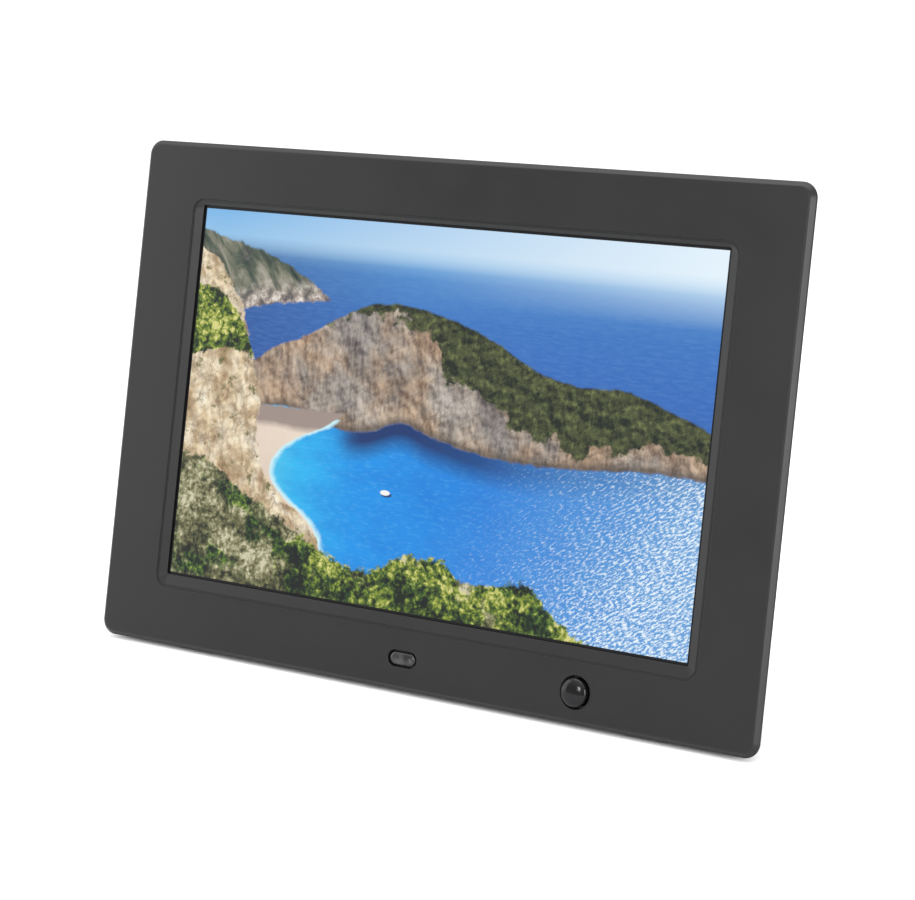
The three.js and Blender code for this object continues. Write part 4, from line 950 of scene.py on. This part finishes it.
def cover():
    skin = [taper_ring(COVER_Y, 0, 4.5, 3.0), taper_ring(COVER_Y, 0, 4.5)]
    skin += [taper_ring(SHELF_Y, 0, 9), taper_ring(SHELF_Y, 0, 9, 12.0)]
    obj = start("cover_shell", [loft(rings_of(soften(skin, [0, 0.25, 2.0, 0], 5), 8))])
    box = [housing_ring(SHELF_Y - 1.5, 0, 8)]
    box += [housing_ring(HOUSING_Y, 0, 8), housing_ring(HOUSING_Y, 0, 8, 8.5)]
    combined(obj, [loft(rings_of(soften(box, [0, 1.8, 0], 5), 8, low=2.0))], "UNION")
    slant = WALL * sqrt(2)
    room = [taper_ring(COVER_Y - 1, slant, 3), taper_ring(SHELF_Y - WALL, slant, 6)]
    combined(obj, [loft(rings_of(room))], "DIFFERENCE")
    room = [housing_ring(SHELF_Y - WALL - 1, WALL, 6), housing_ring(HOUSING_Y - WALL, WALL, 6)]
    hollow = start("hollow", [loft(rings_of(room, low=2.0))])
    wall = CHANNEL_HALF_W + WALL
    spine = block(-wall, wall, CHANNEL_Y - WALL, HOUSING_Y + 9, -9, CHANNEL_TOP + WALL)
    combined(hollow, [spine], "DIFFERENCE")
    combined(obj, hollow, "DIFFERENCE")
    channel = rect_outline(-CHANNEL_HALF_W, CHANNEL_HALF_W, -20, CHANNEL_TOP, 1.6)
    combined(obj, [flared(channel, CHANNEL_Y, HOUSING_Y, HOUSING_Y + 2, 0.9, 4)], "DIFFERENCE")

    posts = [prism(circle(x, z, 6.8), 8.0, SHELF_Y - WALL + 0.5) for x, z in CASE_SCREWS]
    posts += [prism(circle(x, z, 5.6), BOARD_BACK + GAP, HOUSING_Y - WALL + 0.5) for x, z in BOARD_SCREWS]
    combined(obj, posts, "UNION")

    holes = [case_screw_hole(x, z) for x, z in CASE_SCREWS]
    holes += [prism(circle(x, z, 2.9), BOARD_BACK, HOUSING_Y - WALL - 1) for x, z in BOARD_SCREWS]
    slots = ((14.5, 17.5, 12.9, CARD_Z), (13.9, 20.0, 7.0, USB_Z), (14.1, 18.4, 4.3, MINI_USB_Z))
    for y0, y1, half, z in slots:
        holes.append(across(y0, y1, z - half, z + half, 0.5, SOCKET_X - 1, OUTSIDE_X))
    for z, r in ((HEADPHONE_Z, 2.6), (POWER_Z, 3.1)):
        holes.append(turned_x([(r, SOCKET_X - 1), (r, OUTSIDE_X)], JACK_Y, z))
    for x in (-HANGER_X, HANGER_X):
        holes.append(flared(keyhole(x, HANGER_Z), SHELF_Y - 4, SHELF_Y, SHELF_Y + 1, 0.35))
    for i in range(len(KEYS)):
        hole = around(KEY_X, KEY_Z - i * KEY_PITCH, KEY_W, KEY_H, KEY_CLEARANCE)
        holes.append(through_back(rect_outline(*hole, 1.6, 5), 0.35))
    for i in range(8):
        x = 44 + 4 * i
        holes.append(through_back(rect_outline(x - 0.8, x + 0.8, 94, 124, 0.79, 4), 0.3))
    holes += speaker_holes(SPEAKER_X, SPEAKER_Z) + speaker_holes(-SPEAKER_X, SPEAKER_Z)
    seat = [(0, -3), (0, foot_seat())]
    for x in (-FOOT_X, FOOT_X):
        holes.append(upright(x, FOOT_LENGTH + 0.6, FOOT_FRONT - 0.3, FOOT_DEPTH + 0.6, seat, 2.5, LEVEL))
    # a shallow blank panel where such a cover has its rating plate
    plate = rect_outline(-74, -40, 44, 60, 1.5, 4)
    holes.append(flared(plate, HOUSING_Y - 0.35, HOUSING_Y, HOUSING_Y + 1, 0.2, 2))
    combined(obj, holes, "DIFFERENCE")
    finish(obj, "cover_plastic", "rear_cover")


def metal_cup(name, node, x0, y0, y1, z, half, wall, radius):
    """A socket's folded shell, open towards +x."""
    def ring(x, inset):
        r = max(radius - inset, 0.1)
        return at_x(x, rounded_rect(y0 + inset, y1 - inset, z - half + inset, z + half - inset, r, 4))

    rings = [ring(x0, 0), ring(SOCKET_X - 0.12, 0), ring(SOCKET_X, 0.08), ring(SOCKET_X, wall - 0.06),
             ring(SOCKET_X - 0.3, wall), ring(x0 + 1, wall)]
    obj = start(name, [loft(rings)])
    finish(obj, "socket_metal", node)


def tongue(name, x0, x1, y0, y1, z, half, count, pitch, contact_w):
    """The insulating tongue in a socket, and its contacts."""
    root = block(x0, x1 - 0.3, y0, y1, z - half, z + half)
    tip = block(x1 - 0.3, x1, y0 + 0.2, y1 - 0.2, z - half + 0.2, z + half - 0.2)
    finish(start(name, [root, tip]), "socket_plastic")
    centres = [z + (i - (count - 1) / 2) * pitch for i in range(count)]
    wide = contact_w / 2
    strips = [block(x0 + 2, x1 - 0.7, y1 - 0.04, y1 + 0.12, c - wide, c + wide) for c in centres]
    finish(start(f"{name}_contacts", strips), "socket_metal", look=CONTACT_GOLD)


def sockets():
    y = BOARD_BACK + GAP
    metal_cup("usb_shell", "usb_socket", 61, y, y + 5.7, USB_Z, 6.6, 0.35, 0.6)
    tongue("usb_tongue", 62.1, SOCKET_X - 1.5, y + 1.0, y + 2.6, USB_Z, 5.4, 4, 2.4, 1.1)
    metal_cup("mini_usb_shell", "mini_usb_socket", 67, y, y + 3.9, MINI_USB_Z, 3.9, 0.4, 0.7)
    tongue("mini_usb_tongue", 68.1, SOCKET_X - 1.0, y + 1.5, y + 2.2, MINI_USB_Z, 2.4, 5, 0.8, 0.4)
    metal_cup("card_shell", "card_socket", 48, y, y + 3.4, CARD_Z, 13.6, 0.5, 0.5)
    centres = [CARD_Z + 2.5 * i for i in range(-4, 5)]
    pins = [block(50.2, 58, y + 2.3, y + 2.7, c - 0.5, c + 0.5) for c in centres]
    finish(start("card_contacts", pins), "socket_metal", look=CONTACT_GOLD)
    collar = [
        (1.85, SOCKET_X + 0.1), (1.85, SOCKET_X + 2.0), (2.05, SOCKET_X + 2.2),
        (2.3, SOCKET_X + 2.2), (2.4, SOCKET_X + 2.1), (2.4, SOCKET_X + 0.1),
    ]
    ring = turned_x(collar, JACK_Y, HEADPHONE_Z, 40, loop=True)
    finish(start("headphone_collar", [ring]), "socket_metal")
    sleeve = [
        (0.78, SOCKET_X - 10.4), (0.85, SOCKET_X - 10.4), (0.85, SOCKET_X - 1.3), (0.7, SOCKET_X - 0.9),
        (0.4, SOCKET_X - 0.75), (0, SOCKET_X - 0.7), (0, SOCKET_X - 0.95), (0.78, SOCKET_X - 0.95),
    ]
    finish(start("power_pin", [turned_x(sleeve, JACK_Y, POWER_Z, 28, loop=True)]), "socket_metal")


def foot(side, name):
    seat = foot_seat() - GAP
    levels = [
        (0.9, SOLE_Z), (0.55, SOLE_Z + 0.06), (0.25, SOLE_Z + 0.25), (0.08, SOLE_Z + 0.5),
        (0, SOLE_Z + 0.8), (0, seat - 0.15), (0.15, seat),
    ]
    pad = upright(side * FOOT_X, FOOT_LENGTH, FOOT_FRONT, FOOT_DEPTH, levels, 2.5, LEVEL)
    finish(start(f"foot_pad_{name}", [pad]), "rubber", f"foot_{name}")


def cross_recess(x, z, head_y):
    """Cutters for a cross recess that narrows towards its floor."""
    tools = []
    for wide, tall in ((1.35, 0.33), (0.33, 1.35)):
        rings = []
        for y, k in ((head_y - 0.9, 0.45), (head_y + 0.5, 1.1)):
            w, t = (wide * k, tall) if wide > tall else (wide, tall * k)
            rings.append(at_y(y, [(x - w, z - t), (x + w, z - t), (x + w, z + t), (x - w, z + t)]))
        tools.append(loft(rings))
    return tools


def case_screw(row, side_name, x, z):
    head, shank, top = 2.4, 1.25, SHELF_Y
    profile = [
        (0, top), (0.9, top - 0.02), (1.6, top - 0.12), (2.05, top - 0.34), (2.3, top - 0.66),
        (head, top - 1.0), (head, top - 1.4), (shank, top - 1.4),
    ]
    # a shallow thread, as rings
    y = top - 1.9
    while y > top - 8.6:
        profile += [(shank - 0.18, y + 0.16), (shank, y), (shank - 0.18, y - 0.16)]
        y -= 0.6
    profile += [(shank - 0.3, top - 8.9), (shank - 0.7, top - 9.5), (0, top - 9.6)]
    obj = start(f"screw_{row}_{side_name}", [turned_y(profile, x, z, 28)])
    for tool in cross_recess(x, z, top):
        combined(obj, [tool], "DIFFERENCE")
    finish(obj, "screw_steel", f"case_screw_{row}_{side_name}")


def easel_leg():
    drop = HINGE_Z * cos(LEAN) - HINGE_Y * sin(LEAN) - SOLE_Z
    tilt = LEG_OPEN - LEAN
    length = drop / cos(tilt) + 4

    def blade(inset):
        top, low = BARREL_HALF_W - inset, LEG_FOOT_HALF_W - inset
        return [(-low, -length), (low, -length), (top, 0), (-top, 0)]

    back = [(LEG_BACK - 1.0 * (1 - sin(a)), 1.0 * (1 - cos(a))) for a in quarter(5)]
    front = [(LEG_FRONT + 0.4 * (1 - sin(a)), 0.4 * (1 - cos(a))) for a in quarter(3)[::-1]]
    rings = [at_y(y, blade(inset)) for y, inset in front + back]
    obj = start("easel_leg", [loft(rings)], LEG)
    edge, end = 0.35, BARREL_HALF_W
    barrel = [
        (0, -end), (BARREL_R - edge, -end), (BARREL_R, -end + edge), (BARREL_R, end - edge),
        (BARREL_R - edge, end), (0, end),
    ]
    combined(obj, [turned_x(barrel, 0, 0, 48)], "UNION")
    combined(obj, [block(-10, 10, 0.4, 2.2, 0, 5.1)], "UNION")

    level = Matrix.Rotation(-tilt, 4, "X")
    trim = moved(block(-40, 40, -30, 40, -drop - 20, -(drop - LEG_PAD_T - GAP)), level)
    cuts = [turned_x([(PIN_HOLE_D / 2, -end - 1), (PIN_HOLE_D / 2, end + 1)], 0, 0), trim]
    rib = 1.8
    for z0, z1 in ((-28, -6), (-53, -28), (-78, -53), (-103, -78)):
        half = BARREL_HALF_W + (LEG_FOOT_HALF_W - BARREL_HALF_W) * (-z0 / length) - rib
        for x0, x1 in (
            (-half, -half / 3 - rib / 2), (-half / 3 + rib / 2, half / 3 - rib / 2),
            (half / 3 + rib / 2, half),
        ):
            outline = rect_outline(x0, x1, z0 + rib / 2, z1 - rib / 2, 0.6, 3)
            cuts.append(flared(outline, LEG_BACK - rib, LEG_FRONT, LEG_FRONT - 1, 0.25, 2))
    # a shallow panel down the back, and grip grooves near the foot
    dip = rect_outline(-17, 17, -92, -16, 3.0, 6)
    cuts.append(flared(dip, LEG_BACK - 0.45, LEG_BACK, LEG_BACK + 1, 0.35))
    for i in range(4):
        z = -101 - 3.2 * i
        groove = rect_outline(-13, 13, z - 0.6, z + 0.6, 0.58, 4)
        cuts.append(flared(groove, LEG_BACK - 0.5, LEG_BACK, LEG_BACK + 1, 0.25))
    combined(obj, cuts, "DIFFERENCE")
    finish(obj, "leg_plastic", "stand_leg", body="leg")

    centre = drop * tan(tilt) + 0.2
    levels = [
        (0.7, -drop), (0.35, -drop + 0.08), (0.12, -drop + 0.3), (0, -drop + 0.6),
        (0, -drop + LEG_PAD_T - 0.1), (0.1, -drop + LEG_PAD_T),
    ]
    pad = upright(0, 2 * LEG_FOOT_HALF_W - 2, centre - 2.5, 5.0, levels, 2.0, level)
    finish(start("easel_pad", [pad], LEG), "rubber", "leg_pad", body="leg")


def glyph(kind, x, z):
    """Outlines of a key's raised mark. From behind, +x is to the left."""
    def bar(x0, x1, z0, z1):
        return [(x + x0, z + z0), (x + x1, z + z0), (x + x1, z + z1), (x + x0, z + z1)]

    def wedge(tip, base, half):
        points = [(x + base, z - half), (x + tip, z), (x + base, z + half)]
        return points if tip > base else points[::-1]

    if kind == "menu":
        return [bar(-1.4, 1.4, height - 0.17, height + 0.17) for height in (-0.85, 0.0, 0.85)]
    if kind == "previous":
        return [wedge(0.85, -1.2, 1.15), bar(1.0, 1.35, -1.1, 1.1)]
    if kind == "next":
        return [wedge(-0.85, 1.2, 1.15), bar(-1.35, -1.0, -1.1, 1.1)]
    if kind == "play":
        return [wedge(-1.3, 0.9, 1.25)]
    ring = []
    for r in (1.25, 0.92):
        turn = [radians(90 + 38 + (284 * i / 20)) for i in range(21)]
        points = [(x + r * cos(a), z - 0.1 + r * sin(a)) for a in turn]
        ring += points if r > 1 else points[::-1]
    return [ring, bar(-0.17, 0.17, 0.1, 1.5)]


def key(name, z):
    back, top = HOUSING_Y - WALL - GAP, HOUSING_Y + KEY_PROUD

    def ring(inset, y):
        r = max(1.3 - inset, 0.25)
        return at_y(y, rounded_rect(*around(KEY_X, z, KEY_W, KEY_H, -inset), r, 6))

    rings = [ring(-1, back - 0.8), ring(-1, back), ring(0, back)]
    rings += [ring(0.55 * (1 - cos(a)), top - 0.55 * (1 - sin(a))) for a in quarter(5)]
    rings += [ring(1.0, top - 0.02), ring(1.5, top - 0.12), ring(2.0, top - 0.20), ring(2.6, top - 0.24)]
    cap = start(f"keycap_{name}", [loft(rings)])
    combined(cap, [prism(circle(KEY_X, z, 3.0), back - 1.5, back - 0.4)], "UNION")
    finish(cap, "key_plastic", f"key_{name}", body=f"{name}_key")
    marks = [prism(outline, top - 0.30, top - 0.10) for outline in glyph(name, KEY_X, z)]
    finish(start(f"keymark_{name}", marks), "key_plastic", body=f"{name}_key", look=KEY_PRINT)


def paint_cad():
    """Every CAD node gets its slot's finish."""
    for entry in frame["record"]["subparts"]:
        data = frame["nodes"][entry["node"]].data
        data.materials.clear()
        data.materials.append(FINISHES[entry["material_slot"]])


# ------------------------------------------------------------------ stage, camera, light


def floor():
    size = 12.0
    data = bpy.data.meshes.new("floor")
    corners = [(-size, -size, 0), (size, -size, 0), (size, size, 0), (-size, size, 0)]
    data.from_pydata(corners, [], [(0, 1, 2, 3)])
    obj = placed("studio_floor", data)
    paint = Paint("floor_paper", Roughness=0.9)
    paint.put("Base_Color", paint.mix(paint.noise(6, 3), (0.86, 0.86, 0.86, 1), (0.90, 0.90, 0.90, 1)))
    paint.put("Specular_IOR_Level", 0.1)
    data.materials.append(paint.material)


def softbox(name, azimuth, elevation, distance, width, height, radiance):
    """An area light aimed at the frame. Azimuth is from the front, to the viewer's right."""
    data = bpy.data.lights.new(name, "AREA")
    data.shape, data.size, data.size_y = "RECTANGLE", width, height
    data.energy = radiance * pi * width * height
    a, e = radians(azimuth), radians(elevation)
    out = Vector((sin(a) * cos(e), -cos(a) * cos(e), sin(e)))
    obj = placed(name, data)
    obj.location = Vector((0, 0, 0.09)) + out * distance
    obj.rotation_euler = out.to_track_quat("Z", "Y").to_euler()


def studio():
    world = bpy.data.worlds.new("studio")
    world.use_nodes = True
    tree = world.node_tree
    background = tree.nodes["Background"]
    direction = tree.nodes.new("ShaderNodeTexCoord").outputs["Generated"]
    split = tree.nodes.new("ShaderNodeSeparateXYZ")
    tree.links.new(direction, split.inputs[0])
    rise = tree.nodes.new("ShaderNodeMapRange")
    rise.interpolation_type = "SMOOTHSTEP"
    tree.links.new(split.outputs[2], rise.inputs["Value"])
    for socket, value in (("From Min", 0.20), ("From Max", 0.85), ("To Min", 0.57), ("To Max", 1.75)):
        rise.inputs[socket].default_value = value
    # what the camera sees past the floor is as white as the floor
    seen = tree.nodes.new("ShaderNodeMix")
    tree.links.new(tree.nodes.new("ShaderNodeLightPath").outputs["Is Camera Ray"], seen.inputs["Factor"])
    tree.links.new(rise.outputs[0], seen.inputs["A"])
    seen.inputs["B"].default_value = 1.1
    tree.links.new(seen.outputs["Result"], background.inputs["Strength"])
    background.inputs["Color"].default_value = (1.0, 1.0, 1.0, 1.0)
    bpy.context.scene.world = world
    softbox("overhead_softbox", 0, 84, 1.3, 1.3, 0.9, 2.4)
    softbox("left_softbox", -62, 14, 0.90, 0.55, 0.70, 2.1)
    softbox("right_softbox", 60, 10, 1.40, 0.60, 0.60, 11.0)
    softbox("key_softbox", -2, 16, 1.40, 0.25, 0.25, 20.0)
    floor()
    bpy.context.scene.view_settings.view_transform = "Standard"


def camera():
    data = bpy.data.cameras.new("view")
    data.sensor_fit, data.sensor_width, data.lens = "HORIZONTAL", 36.0, 102.72
    data.shift_y = -92 / 915
    data.clip_start, data.clip_end = 0.01, 60.0
    obj = placed("view", data)
    obj.location = (0.495676, -0.759074, 0.274223)
    obj.rotation_euler = (radians(90 - 9.99), 0, radians(33.12))
    bpy.context.scene.camera = obj


camera()
studio()
paint_cad()
bezel()
ir_window()
pir_dome()
display()
cover()
sockets()
for side, side_name in ((-1, "left"), (1, "right")):
    foot(side, side_name)
    for row, screw_z in zip(("lower", "upper"), CASE_SCREW_Z):
        case_screw(row, side_name, side * CASE_SCREW_X, screw_z)
easel_leg()
for place, key_name in enumerate(KEYS):
    key(key_name, KEY_Z - place * KEY_PITCH)
